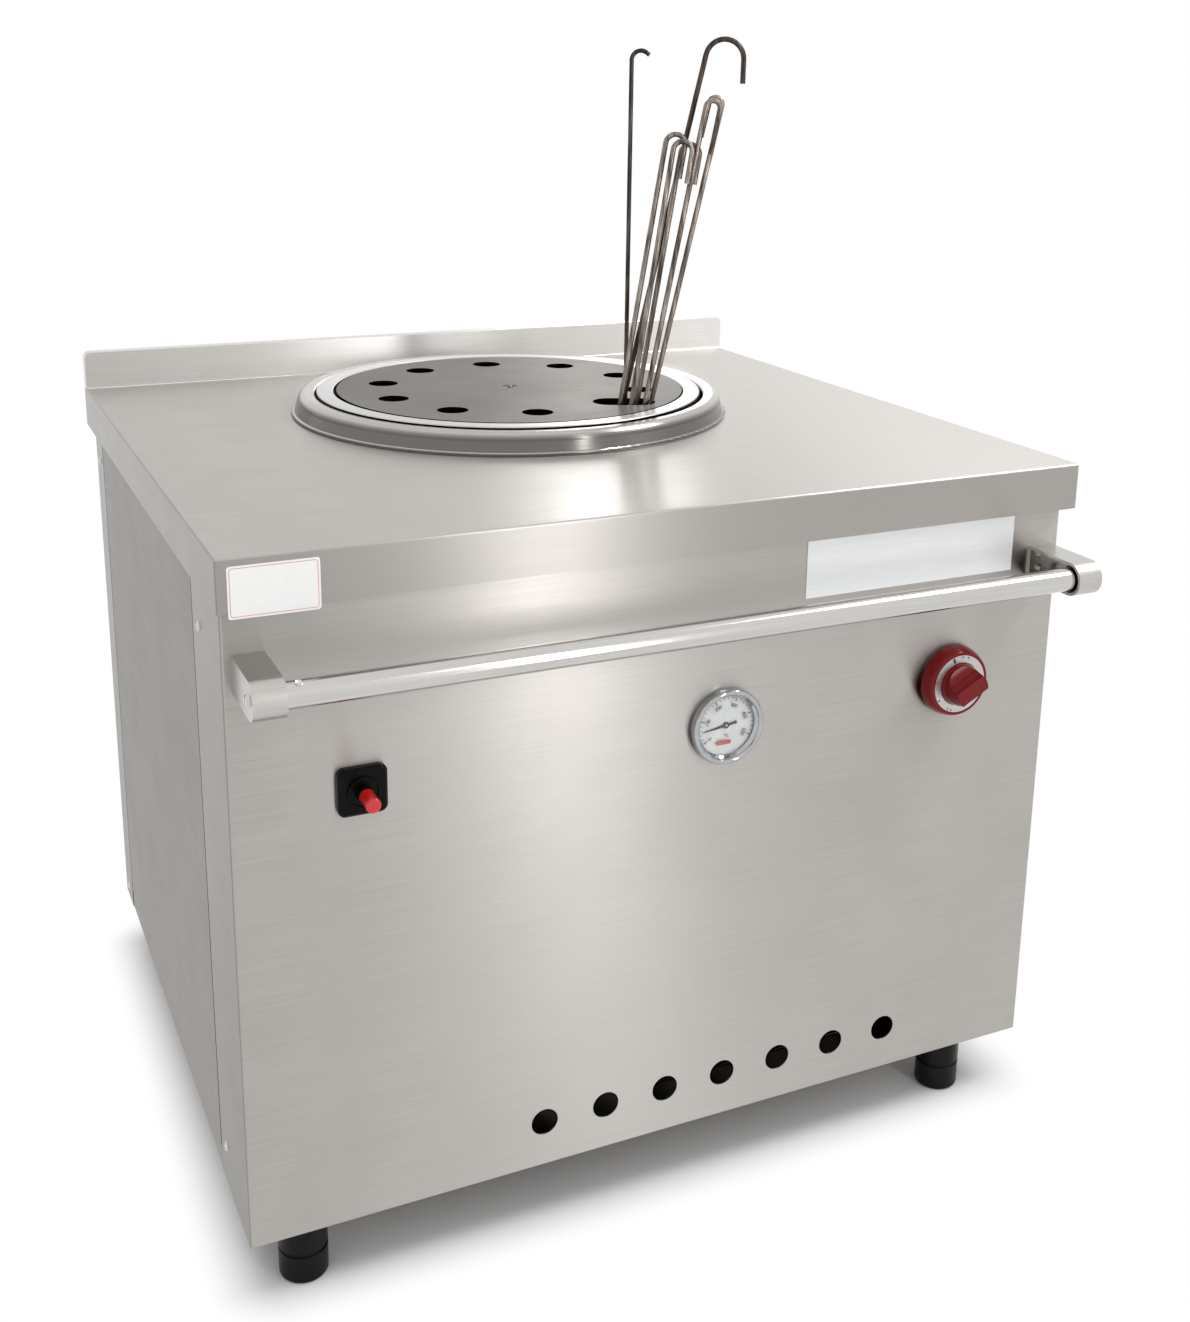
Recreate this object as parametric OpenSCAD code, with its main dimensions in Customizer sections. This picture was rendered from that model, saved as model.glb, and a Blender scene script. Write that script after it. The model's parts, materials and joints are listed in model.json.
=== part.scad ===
// Gas-heated clay tandoor in a stainless steel cabinet.
// +Z is up, +Y points to the back and +X to the viewer's right, who stands at the front.
// The origin is on the floor, under the middle of the oven's outline seen from above.

/* [Worktop] */
// Width of the worktop, side to side
top_w = 900; // [820:10:1200]
// Depth of the worktop, from the front edge to the back of the upstand
top_d = 800; // [660:10:1100]
// Height of the worktop's surface above the floor
work_h = 747; // [600:1:900]
// Height of the worktop's folded edge
edge_h = 48; // [30:1:70]
// Thickness of the worktop's sheet
top_t = 2; // [1.5:0.5:4]
// Outer radius of the bends in the sheets
bend_r = 2.4; // [1:0.2:2.8]
// Height of the upstand along the back
upstand_h = 45; // [25:1:120]
// Thickness of the folded upstand, front to back
upstand_t = 18; // [12:1:30]
// Radius of the upstand's two outer top corners
upstand_r = 8; // [2:1:11]
// Width of the short end piece of the upstand
upstand_end_w = 186; // [80:1:300]

/* [Cabinet] */
// Distance from the worktop's front edge back to the cabinet's front
front_setback = 18.6; // [8:0.1:40]
// Distance from the worktop's side edge in to the cabinet's side
side_setback = 5; // [3:0.5:20]
// Distance from the cabinet's back to the worktop's back edge
back_setback = 38; // [20:1:60]
// Height of the cabinet's underside above the floor
foot_h = 67; // [50:1:110]
// Thickness of the cabinet's sheets
sheet_t = 1.5; // [1:0.5:2.5]
// Depth of the front panel's folded sides
front_return = 124; // [90:1:160]
// Depth of the rear panel's folded sides
rear_return = 53; // [30:1:80]
// Open joint between the side panel and the folds beside it
panel_gap = 3; // [1:0.5:6]
// Thickness of the frame's steel
frame_t = 2.5; // [2:0.5:4]
// Leg length of the frame's angle steel
frame_leg = 30; // [20:1:40]

/* [Air inlets] */
// Number of air holes in a row
vent_count = 7; // [1:1:9]
// Diameter of an air hole
vent_d = 28.5; // [15:0.5:36]
// Distance between neighbouring air holes
vent_pitch = 67.5; // [50:0.5:70]
// Sideways place of the row's middle, from the cabinet's middle
vent_mid_x = 55; // [-60:1:60]
// Height of the row above the cabinet's underside
vent_up = 49.5; // [35:0.5:80]

/* [Feet] */
// Diameter of a foot
foot_d = 48; // [35:1:60]
// Height of the turning lower part of a foot
foot_low_h = 34; // [20:1:42]
// Distance of the left feet from the cabinet's left side
foot_in_left = 57; // [40:1:120]
// Distance of the right feet from the cabinet's right side
foot_in_right = 82; // [40:1:120]
// Distance of the feet's middles from the cabinet's front and back
foot_in_y = 34; // [30:1:80]

/* [Mouth and lid] */
// Radius of the collar where it stands on the worktop
collar_r = 257.5; // [250:0.5:280]
// Height of the collar
collar_h = 25; // [22:0.5:60]
// Radius of the collar's opening
collar_in_r = 229.5; // [229:0.5:234]
// Thickness of the collar's spun sheet
collar_t = 2; // [1.5:0.5:3]
// Distance from the mouth's middle to the worktop's back edge
mouth_back = 315; // [312:1:400]
// Height of the pot's rim above the worktop
rim_up = 18.5; // [12:0.5:20]
// Inner radius of the mouth ring
ring_in_r = 207.6; // [207:0.2:212]
// Outer radius of the mouth ring
ring_out_r = 227; // [222:0.5:227]
// Thickness of the mouth ring
ring_t = 7.5; // [5:0.5:12]
// Sideways slip of the mouth ring in its collar, towards the left
ring_slip = 1.2; // [0:0.1:1.6]
// Radius of the lid
lid_r = 205; // [200:0.5:205]
// Height of the lid with its turned-down edge
lid_h = 7.2; // [6:0.2:14]
// Thickness of the lid's plate
lid_t = 3; // [2:0.5:5]
// Number of places for holes around the lid
lid_places = 10; // [6:1:12]
// Diameter of a round hole in the lid
lid_hole_d = 35; // [20:1:40]
// Radius of the circle that the lid's holes lie on
lid_pitch_r = 153; // [140:1:160]
// Turn of the ring of holes about the mouth's middle
lid_turn = 8; // [4:1:12]
// Length of the skewer slot, end to end
slot_len = 72; // [68:1:76]
// Width of the skewer slot
slot_w = 40; // [39:0.5:42]
// Radius at which the slot's middle lies
slot_r = 158.6; // [155:0.2:160]
// Direction in which the slot's middle lies
slot_dir = -56.3; // [-58:0.1:-52]
// Turn of the slot's long axis
slot_turn = -22; // [-26:1:-18]

/* [Clay pot] */
// Inner radius of the pot's mouth
pot_mouth_r = 197; // [190:1:199]
// Inner radius of the pot's belly
pot_belly_r = 206; // [200:1:210]
// Inner radius of the pot's floor
pot_floor_r = 184; // [178:1:188]
// Thickness of the pot's wall at the belly
pot_wall = 35; // [28:1:40]
// Thickness of the pot's floor
pot_floor_t = 30; // [20:1:40]
// Radius of the burner's hole in the pot's floor
pot_hole_r = 52; // [50:1:60]
// Radius of the drum around the pot's insulation
drum_r = 268; // [262:1:272]
// Height of the burner's space under the pot
burner_space = 80; // [78:1:110]

/* [Towel rail] */
// Diameter of the rail
rail_d = 24; // [18:0.5:30]
// Distance of the rail's axis in front of the worktop's edge
rail_out = 45.3; // [35:0.1:60]
// Depth of the rail's axis below the worktop's surface
rail_down = 108; // [95:1:130]
// Distance from the cabinet's middle to a bracket's outer face
bracket_x = 436.6; // [300:0.1:442]
// Width of a bracket
bracket_w = 28.8; // [24:0.1:36]
// Radius of a bracket's round nose
bracket_r = 17.5; // [15:0.1:20]
// Thickness of a bracket's walls
bracket_t = 3; // [2:0.5:4]

/* [Thermometer] */
// Sideways place of the thermometer
thermo_x = 44; // [-60:1:60]
// Depth of the thermometer's middle below the worktop's surface
thermo_down = 233; // [200:1:300]
// Outer diameter of the thermometer's bezel
bezel_d = 78; // [60:1:100]
// Depth of the thermometer's case in front of the panel
case_h = 11; // [10:0.5:20]
// Diameter of the thermometer's probe
probe_d = 8; // [6:0.5:10]

/* [Gas control] */
// Sideways place of the gas knob
knob_x = 314; // [290:1:330]
// Depth of the knob's middle below the worktop's surface
knob_down = 225; // [200:1:300]
// Diameter of the knob's skirt
knob_d = 77; // [74:1:90]
// Height of the knob's skirt
knob_h = 15; // [12:1:24]
// Height of the knob's grip above its skirt
grip_h = 23; // [12:1:24]
// Turn of the grip away from upright, clockwise
grip_turn = 62; // [0:1:90]
// Diameter of the valve's stem
stem_d = 8; // [6:0.5:10]

/* [Igniter] */
// Sideways place of the igniter
igniter_x = -327; // [-340:1:-250]
// Depth of the igniter's middle below the worktop's surface
igniter_down = 233; // [200:1:300]
// Side length of the igniter's square plate
igniter_plate_w = 46; // [36:1:60]
// Diameter of the igniter's button
button_d = 14; // [8:0.5:16]
// How far the button stands in front of the plate's collar
button_out = 30; // [12:0.5:34]

/* [Skewers] */
// Diameter of a skewer
skewer_d = 6; // [4:0.5:6]
// Diameter of the thin hook rod
hook_rod_d = 5; // [4:0.5:6]
// Distance between neighbouring layers of skewers
skewer_layer = 6.5; // [6.4:0.05:6.6]

/* [Hidden] */
$fn = 72;

// A hair of room between two pieces that only touch
hair = 0.3;
// Running room of a turning or sliding fit, on the radius
run = 0.05;
// How far a cutting tool runs past what it cuts
past = 1;

// The outline's depth is the worktop's and the brackets' reach together, with the origin at its middle
rail_reach = rail_out + bracket_r;
front_y = (rail_reach - top_d) / 2;
back_y = front_y + top_d;

// The cabinet's outside and the inner faces of its sheets
cab_x = top_w / 2 - side_setback;
cab_front = front_y + front_setback;
cab_back = back_y - back_setback;
cab_top = work_h - top_t;
in_x = cab_x - sheet_t;
in_front = cab_front + sheet_t;
in_back = cab_back - sheet_t;
pan_top = foot_h + sheet_t;

// The stack under and in the pot
stand_z = foot_h + burner_space;
floor_z = stand_z + pot_floor_t;
rim_z = work_h + rim_up;
lid_z = rim_z + hair;
mouth_y = back_y - mouth_back;

// Heights of the controls and the rail
rail_y = front_y - rail_out;
rail_z = work_h - rail_down;
thermo_z = work_h - thermo_down;
knob_z = work_h - knob_down;
igniter_z = work_h - igniter_down;
vent_z = foot_h + vent_up;

// ---------------------------------------------------------------- helpers

// Points of an arc about (x, y), from angle a to angle b in n steps
function arc(x, y, r, a, b, n = 8) =
    [for (i = [0 : n]) [x + r * cos(a + (b - a) * i / n), y + r * sin(a + (b - a) * i / n)]];

// Point of a cubic curve with the four control points p
function curve_point(p, t) = pow(1 - t, 3) * p[0] + 3 * t * pow(1 - t, 2) * p[1]
    + 3 * t * t * (1 - t) * p[2] + pow(t, 3) * p[3];
function curve(p, n = 8) = [for (i = [0 : n]) curve_point(p, i / n)];

// A box between two corners
module box(low, high) {
    translate(low) cube(high - low);
}

// Rounds the outer edge of a body in its -X and -Y quadrant, along +Z
module bend_cutter(length, r) {
    difference() {
        translate([-r, -r, -past]) cube([r + past, r + past, length + 2 * past]);
        translate([-r, -r, -2 * past]) cylinder(r = r, h = length + 4 * past);
    }
}

// A cylinder along +Y, with its middle at (x, z) and its ends at y0 and y1
module rod_y(x, z, y0, y1, r) {
    translate([x, y0, z]) rotate([-90, 0, 0]) cylinder(r = r, h = y1 - y0);
}

// A cylinder along +X, with its middle at (y, z) and its ends at x0 and x1
module rod_x(x0, x1, y, z, r) {
    translate([x0, y, z]) rotate([0, 90, 0]) cylinder(r = r, h = x1 - x0);
}

// Turns +Z to the direction d
module along(d) {
    rotate([0, acos(d.z / norm(d)), atan2(d.y, d.x)]) children();
}

// A bent tube along points, with round bends of the radius bend
module tube_run(points, r, bend, bore = 0) {
    last = len(points) - 1;
    difference() {
        union() {
            for (i = [0 : last - 1]) {
                tube_straight(points, i, last, r, bend);
            }
            for (i = [1 : 1 : last - 1]) {
                tube_bend(points, i, r, bend);
            }
        }
        if (bore > 0) {
            for (i = [0, last - 1]) {
                tube_mouth(points, i, last, bore, bend);
            }
        }
    }
}

function unit(v) = v / norm(v);
function bend_angle(p, i) = acos(unit(p[i] - p[i - 1]) * unit(p[i + 1] - p[i]));
function bend_cut(p, i, last, bend) = i == 0 || i == last ? 0 : bend * tan(bend_angle(p, i) / 2);

module tube_straight(p, i, last, r, bend) {
    d = p[i + 1] - p[i];
    cut0 = bend_cut(p, i, last, bend);
    cut1 = bend_cut(p, i + 1, last, bend);
    translate(p[i] + unit(d) * cut0) along(d) cylinder(r = r, h = norm(d) - cut0 - cut1);
}

module tube_bend(p, i, r, bend) {
    d0 = unit(p[i] - p[i - 1]);
    d1 = unit(p[i + 1] - p[i]);
    a = acos(d0 * d1);
    side = unit(d1 - d0 * (d0 * d1));
    up = cross(d0, side);
    middle = p[i] - d0 * bend * tan(a / 2) + side * bend;
    multmatrix([
        [-side.x, d0.x, -up.x, middle.x],
        [-side.y, d0.y, -up.y, middle.y],
        [-side.z, d0.z, -up.z, middle.z],
        [0, 0, 0, 1]])
        rotate_extrude(angle = a) translate([bend, 0]) circle(r, $fn = 24);
}

module tube_mouth(p, i, last, bore, bend) {
    d = p[i + 1] - p[i];
    depth = norm(d) / 2;
    start = i == 0 ? p[i] - unit(d) * past : p[i + 1] + unit(d) * past;
    way = i == 0 ? d : -d;
    translate(start) along(way) cylinder(r = bore, h = depth);
}

// ---------------------------------------------------------------- worktop

module worktop() {
    color("gainsboro") difference() {
        box([-top_w / 2, front_y, work_h - edge_h], [top_w / 2, back_y, work_h]);
        // Hollow between the folded edges
        box([-top_w / 2 + top_t, front_y + top_t, work_h - edge_h + top_t],
            [top_w / 2 - top_t, back_y - top_t, cab_top]);
        // The folds underneath stop at the cabinet
        box([-cab_x - hair, cab_front - hair, work_h - edge_h - past],
            [cab_x + hair, cab_back + hair, cab_top]);
        translate([0, mouth_y, cab_top - past])
            cylinder(r = collar_in_r + 8, h = top_t + 2 * past, $fn = 180);
        // Bends along the front and the two sides, and the ground corners between them
        translate([-top_w / 2, front_y, work_h]) rotate([0, 90, 0]) rotate(180)
            bend_cutter(top_w, bend_r);
        for (side = [-1, 1]) {
            mirror([side < 0 ? 1 : 0, 0, 0]) {
                translate([top_w / 2, back_y, work_h]) rotate([90, 0, 0])
                    bend_cutter(top_d, bend_r);
                translate([top_w / 2, front_y, work_h - edge_h]) rotate(-90)
                    bend_cutter(edge_h, bend_r);
            }
        }
    }
}

// Outline of the upstand from the front, with its outer top corner rounded on one side
module upstand_outline(x0, x1, round_left) {
    corner_x = round_left ? x0 + upstand_r : x1 - upstand_r;
    difference() {
        translate([x0, 0]) square([x1 - x0, upstand_h]);
        translate([round_left ? x0 - past : corner_x, upstand_h - upstand_r])
            square([upstand_r + past, upstand_r + past]);
    }
    translate([corner_x, upstand_h - upstand_r]) circle(upstand_r);
}

// A folded upstand: front, top, back and outer end, open underneath
module upstand(x0, x1, round_left, front_in) {
    translate([0, back_y, work_h]) rotate([90, 0, 0]) difference() {
        linear_extrude(upstand_t - front_in) upstand_outline(x0, x1, round_left);
        translate([x0 + 2 * top_t, -past, top_t])
            cube([x1 - x0 - 4 * top_t, upstand_h - upstand_r + past, upstand_t - front_in - 2 * top_t]);
    }
}

module upstand_main() {
    color("silver") upstand(-top_w / 2, top_w / 2 - upstand_end_w, true, 0);
}

module upstand_end() {
    color("lightgray") upstand(top_w / 2 - upstand_end_w + hair, top_w / 2, false, 1.5);
}

// ---------------------------------------------------------------- mouth

// The collar's section: rolled bead, sloping side, round shoulder, flat top and turned-down lip
module collar() {
    shoulder = 10;
    bead = 2.4;
    wall_top = collar_h - shoulder;
    shoulder_x = collar_r - shoulder - 7;
    lip_bottom = rim_up - ring_t;
    color("lightgray") translate([0, mouth_y, work_h]) rotate_extrude($fn = 180) {
        translate([collar_r - bead, bead]) circle(bead, $fn = 24);
        polygon([
            [collar_r - bead - collar_t, bead],
            [collar_r - bead, bead],
            [shoulder_x + shoulder, wall_top],
            [shoulder_x + shoulder - collar_t, wall_top]]);
        polygon(concat(
            arc(shoulder_x, wall_top, shoulder, 0, 86),
            arc(shoulder_x, wall_top, shoulder - collar_t, 86, 0)));
        polygon(concat(
            [[shoulder_x + (shoulder - collar_t) * cos(86), wall_top + (shoulder - collar_t) * sin(86)],
             [shoulder_x + shoulder * cos(86), wall_top + shoulder * sin(86)]],
            arc(collar_in_r + 4, collar_h - 5, 4, 90, 180, 6),
            [[collar_in_r, lip_bottom], [collar_in_r + collar_t, lip_bottom]],
            arc(collar_in_r + 4, collar_h - 5, 4 - collar_t, 180, 90, 4)));
    }
}

module mouth_ring() {
    edge = 1;
    color("whitesmoke") translate([-ring_slip, mouth_y, rim_z]) rotate_extrude($fn = 180) polygon([
        [ring_in_r, 0],
        [ring_out_r, 0],
        [ring_out_r, ring_t - edge],
        [ring_out_r - edge, ring_t],
        [ring_in_r + edge, ring_t],
        [ring_in_r, ring_t - edge]]);
}

// Places the children on the lid, at a radius and a direction from the mouth's middle
module on_lid(r, direction) {
    translate([r * cos(direction), mouth_y + r * sin(direction), lid_z]) children();
}

module slot_outline() {
    reach = (slot_len - slot_w) / 2;
    for (side = [-1, 1]) {
        translate([side * reach, 0]) circle(slot_w / 2);
    }
    square([2 * reach, slot_w], center = true);
}

module lid_disc() {
    stud_r = 4;
    dimple_r = 9;
    through = lid_h + 2 * past;
    color("darkgray") difference() {
        union() {
            on_lid(0, 0) cylinder(r = lid_r, h = lid_h, $fn = 180);
            on_lid(0, 0) translate([0, 0, lid_h - past]) cylinder(r1 = stud_r, r2 = stud_r - 2, h = past + 1.5);
        }
        // Hollow under the plate, inside the turned-down edge
        on_lid(0, 0) translate([0, 0, -past]) cylinder(r = lid_r - lid_t, h = lid_h - lid_t + past, $fn = 180);
        // The last place but one is the slot's
        for (i = [0 : lid_places - 1]) {
            if (i != lid_places - 2) {
                on_lid(lid_pitch_r, lid_turn + i * 360 / lid_places)
                    translate([0, 0, -past]) cylinder(d = lid_hole_d, h = through);
            }
        }
        on_lid(slot_r, slot_dir) translate([0, 0, -past]) rotate(slot_turn)
            linear_extrude(through) slot_outline();
        // Shallow sink around the middle stud
        on_lid(0, 0) translate([0, 0, lid_h - 0.6]) difference() {
            cylinder(r = dimple_r, h = past);
            translate([0, 0, -past]) cylinder(r = stud_r, h = 3 * past);
        }
    }
}

// ---------------------------------------------------------------- cabinet

// Screw places on the cabinet's sides: [y, z]
screw_y_front = cab_front + front_return - 27;
screw_y_rear = cab_back - rear_return / 2;
screw_places = [
    [screw_y_front, work_h - 95],
    [screw_y_front, foot_h + 45],
    [screw_y_rear, work_h - 82],
    [screw_y_rear, foot_h + 18]];
screw_r = 2;

// Bores for the screws, through the sheet and the post behind it, on both sides
module screw_bores() {
    for (place = screw_places) {
        rod_x(-cab_x - past, -in_x + 12, place.x, place.y, screw_r + run);
        rod_x(in_x - 12, cab_x + past, place.x, place.y, screw_r + run);
    }
}

module panel_screws() {
    head_r = 5;
    head_h = 2;
    color("silver") for (place = screw_places) {
        for (side = [-1, 1]) {
            translate([side * cab_x, place.x, place.y]) rotate([0, side * 90, 0]) {
                difference() {
                    cylinder(r1 = head_r, r2 = head_r - 1.6, h = head_h);
                    translate([-head_r, -0.5, head_h - 0.9]) cube([2 * head_r, 1, 2]);
                }
                translate([0, 0, -sheet_t - 8]) cylinder(r = screw_r, h = sheet_t + 8);
            }
        }
    }
}

// Bores of the rail brackets' screws, through the front panel
module bracket_bores(r) {
    for (side = [-1, 1]) {
        for (dz = [-8, 8]) {
            rod_y(side * (bracket_x - bracket_w / 2), rail_z + dz, cab_front - 8, in_front + past, r);
        }
    }
}

hem_r = 1.3;

module front_panel() {
    color("silver") difference() {
        box([-cab_x, cab_front, foot_h], [cab_x, cab_front + front_return, cab_top]);
        box([-in_x, in_front, foot_h - past], [in_x, cab_front + front_return + past, cab_top + past]);
        for (i = [0 : vent_count - 1]) {
            x = vent_mid_x + (i - (vent_count - 1) / 2) * vent_pitch;
            rod_y(x, vent_z, cab_front - past, in_front + past, vent_d / 2);
        }
        rod_y(thermo_x, thermo_z, cab_front - past, in_front + past, probe_d / 2 + 2);
        rod_y(knob_x, knob_z, cab_front - past, in_front + past, stem_d / 2 + 2);
        rod_y(igniter_x, igniter_z, cab_front - past, in_front + past, igniter_body_r + run);
        screw_bores();
        bracket_bores(2.5 + run);
        for (side = [-1, 1]) {
            mirror([side < 0 ? 1 : 0, 0, 0]) translate([cab_x, cab_front, foot_h]) rotate(-90)
                bend_cutter(cab_top - foot_h, bend_r);
        }
        // The lower edge is rolled
        translate([cab_x, cab_front, foot_h]) rotate([0, -90, 0]) rotate(180)
            bend_cutter(2 * cab_x, hem_r);
    }
}

side_front = cab_front + front_return + panel_gap;
side_back = cab_back - rear_return - panel_gap;

module side_panel(side) {
    hem_h = 26;
    hem_in = 0.5;
    color("darkgray") difference() {
        box([min(side * cab_x, side * in_x), side_front, foot_h + 2],
            [max(side * cab_x, side * in_x), side_back, cab_top - 4]);
        // The hem along the bottom is set in a little
        translate([side * cab_x - hem_in, side_front - past, foot_h])
            cube([2 * hem_in, side_back - side_front + 2 * past, hem_h]);
    }
}

module side_panel_left() {
    side_panel(-1);
}

module side_panel_right() {
    side_panel(1);
}

inlet_x = knob_x + 22;
inlet_z = foot_h + 62;
inlet_r = 10.5;

module rear_panel() {
    slot_h = 8;
    slot_l = 90;
    color("silver") difference() {
        box([-cab_x, cab_back - rear_return, foot_h], [cab_x, cab_back, cab_top]);
        box([-in_x, cab_back - rear_return - past, foot_h - past], [in_x, in_back, cab_top + past]);
        // Two rows of slots let the warm air out
        for (row = [0, 1]) {
            for (i = [-2 : 2]) {
                translate([i * 140, in_back - past, cab_top - 110 - row * 30]) {
                    cube([slot_l, sheet_t + 2 * past, slot_h], center = false);
                }
            }
        }
        rod_y(inlet_x, inlet_z, in_back - past, cab_back + past, inlet_r + run);
        screw_bores();
    }
}

// Middles of the four feet: left front, right front, left rear, right rear
foot_places = [
    [-cab_x + foot_in_left, cab_front + foot_in_y],
    [cab_x - foot_in_right, cab_front + foot_in_y],
    [-cab_x + foot_in_left, cab_back - foot_in_y],
    [cab_x - foot_in_right, cab_back - foot_in_y]];
stud_r = 5;

module base_pan() {
    lip = 20;
    color("gray") difference() {
        box([-in_x + hair, in_front + hair, foot_h], [in_x - hair, in_back - hair, pan_top + lip]);
        box([-in_x + hair + sheet_t, in_front + hair + sheet_t, pan_top],
            [in_x - hair - sheet_t, in_back - hair - sheet_t, pan_top + lip + past]);
        for (place = foot_places) {
            translate([place.x, place.y, foot_h - past]) cylinder(r = stud_r + run, h = sheet_t + 2 * past);
        }
        screw_bores();
    }
}

// A ring of angle steel between two heights, with its flat leg at the bottom or at the top
module angle_ring(z0, flat_below) {
    gap = sheet_t + 2 * hair;
    x = in_x - gap;
    y0 = in_front + gap;
    y1 = in_back - gap;
    z1 = z0 + frame_leg;
    flat_z = flat_below ? z0 + frame_t : z0 - past;
    flat_top = flat_below ? z1 + past : z1 - frame_t;
    difference() {
        box([-x, y0, z0], [x, y1, z1]);
        box([-x + frame_t, y0 + frame_t, flat_z], [x - frame_t, y1 - frame_t, flat_top]);
        box([-x + frame_leg, y0 + frame_leg, z0 - past], [x - frame_leg, y1 - frame_leg, z1 + past]);
    }
}

module base_frame() {
    color("dimgray") difference() {
        angle_ring(pan_top, true);
        for (place = foot_places) {
            translate([place.x, place.y, pan_top - past]) cylinder(r = stud_r + run, h = frame_t + 2 * past);
        }
        screw_bores();
    }
}

module top_frame() {
    color("dimgray") difference() {
        angle_ring(cab_top - frame_leg, false);
        screw_bores();
    }
}

// Four posts of angle steel behind the joints of the side panels
module frame_posts() {
    z0 = pan_top + frame_leg;
    z1 = cab_top - frame_leg;
    gap = sheet_t + 2 * hair;
    x = in_x - gap;
    color("dimgray") difference() {
        for (side = [-1, 1]) {
            mirror([side < 0 ? 1 : 0, 0, 0]) {
                for (post = [[side_front - 45, side_front + 30], [side_back - 30, side_back + 35]]) {
                    box([x - frame_t, post[0], z0], [x, post[1], z1]);
                    box([x - frame_leg, post[0], z0], [x, post[0] + frame_t, z1]);
                    // Packing strip between the post and the sheets outside it
                    box([x, post[0], z0], [in_x, post[1], z1]);
                }
            }
        }
        screw_bores();
    }
}

// ---------------------------------------------------------------- feet

sleeve_h = foot_h - foot_low_h - hair;

module foot_sleeves() {
    nut_r = 9;
    color("black") for (place = foot_places) {
        translate([place.x, place.y, 0]) difference() {
            union() {
                translate([0, 0, foot_low_h + hair]) cylinder(d = foot_d, h = sleeve_h);
                translate([0, 0, foot_h]) cylinder(r = stud_r, h = sheet_t + frame_t + 10);
                translate([0, 0, pan_top + frame_t]) cylinder(r = nut_r, h = 8, $fn = 6);
            }
            translate([0, 0, foot_low_h]) cylinder(r = stud_r + 1 + run, h = sleeve_h - 6);
        }
    }
}

// The lower part of a foot, with its stud standing up into the sleeve
module foot(place) {
    edge = 5;
    groove = 1.5;
    color("black") translate([place.x, place.y, 0]) {
        rotate_extrude() polygon(concat(
            [[0, 0], [foot_d / 2 - edge, 0]],
            arc(foot_d / 2 - edge, edge, edge, -90, 0, 6),
            [[foot_d / 2, foot_low_h - 4],
             [foot_d / 2 - groove, foot_low_h - 3],
             [foot_d / 2 - groove, foot_low_h - 1.5],
             [foot_d / 2, foot_low_h - 0.5],
             [foot_d / 2, foot_low_h],
             [0, foot_low_h]]));
        translate([0, 0, foot_low_h]) cylinder(r = stud_r + 1, h = sleeve_h - 8);
    }
}

module foot_front_left() {
    foot(foot_places[0]);
}

module foot_front_right() {
    foot(foot_places[1]);
}

module foot_rear_left() {
    foot(foot_places[2]);
}

module foot_rear_right() {
    foot(foot_places[3]);
}

// ---------------------------------------------------------------- towel rail

bush_depth = 20;
cheek_in = bracket_x - bracket_t;
rail_end = cheek_in - 4;

module rail_tube() {
    wall = 1.5;
    color("whitesmoke") difference() {
        rod_x(-rail_end, rail_end, rail_y, rail_z, rail_d / 2);
        rod_x(-rail_end - past, rail_end + past, rail_y, rail_z, rail_d / 2 - wall);
    }
}

// Side view of a bracket: a strap from the panel that runs round the rail
module bracket_side(r) {
    circle(r);
    translate([0, -r]) square([cab_front - rail_y, 2 * r]);
}

module rail_bracket(side) {
    back_plate = 3;
    color("gainsboro") mirror([side < 0 ? 1 : 0, 0, 0]) difference() {
        translate([bracket_x - bracket_w, rail_y, rail_z])
            rotate([90, 0, 90]) linear_extrude(bracket_w) bracket_side(bracket_r);
        difference() {
            translate([bracket_x - bracket_w - past, rail_y, rail_z])
                rotate([90, 0, 90]) linear_extrude(bracket_w - bracket_t + past)
                    bracket_side(bracket_r - bracket_t);
            box([bracket_x - bracket_w - 2 * past, cab_front - back_plate, rail_z - 2 * bracket_r],
                [bracket_x, cab_front + past, rail_z + 2 * bracket_r]);
        }
        rod_x(cheek_in - past, bracket_x + past, rail_y, rail_z, rail_screw_r + run);
        bracket_bores(2.5 + run);
    }
}

module rail_bracket_left() {
    rail_bracket(-1);
}

module rail_bracket_right() {
    rail_bracket(1);
}

rail_screw_r = 3;

// Plastic bushes that hold the rail's ends in the brackets
module rail_bushes() {
    flange = bracket_r - bracket_t - run;
    color("black") for (side = [-1, 1]) {
        mirror([side < 0 ? 1 : 0, 0, 0]) difference() {
            rod_x(cheek_in - bush_depth, cheek_in, rail_y, rail_z, flange);
            rod_x(cheek_in - bush_depth - past, rail_end, rail_y, rail_z, rail_d / 2 + run);
            rod_x(rail_end - past, cheek_in + past, rail_y, rail_z, rail_screw_r + run);
        }
    }
}

// The rail's end screws and the brackets' screws with their nuts
module rail_screws() {
    head_r = 7;
    head_h = 3;
    color("silver") for (side = [-1, 1]) {
        mirror([side < 0 ? 1 : 0, 0, 0]) {
            translate([bracket_x, rail_y, rail_z]) rotate([0, 90, 0]) difference() {
                cylinder(r1 = head_r, r2 = head_r - 2.5, h = head_h);
                translate([-head_r, -0.7, head_h - 1.2]) cube([2 * head_r, 1.4, 2]);
            }
            rod_x(rail_end - 8, bracket_x, rail_y, rail_z, rail_screw_r);
            for (dz = [-8, 8]) {
                x = bracket_x - bracket_w / 2;
                rod_y(x, rail_z + dz, cab_front - 7, in_front, 2.5);
                rod_y(x, rail_z + dz, cab_front - 7, cab_front - 3, 4.2);
                rod_y(x, rail_z + dz, in_front, in_front + 4, 4.5);
            }
        }
    }
}

// ---------------------------------------------------------------- pot

neck_h = 60;
pot_outer = [
    [pot_belly_r + pot_wall - 28, stand_z],
    [pot_belly_r + pot_wall + 8, stand_z + 150],
    [pot_belly_r + pot_wall + 6, rim_z - 330],
    [pot_mouth_r + pot_wall - 1, rim_z - neck_h]];
pot_inner = [
    [pot_mouth_r, rim_z - 12],
    [pot_belly_r + 4, rim_z - 240],
    [pot_belly_r + 4, floor_z + 120],
    [pot_floor_r, floor_z]];

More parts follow.
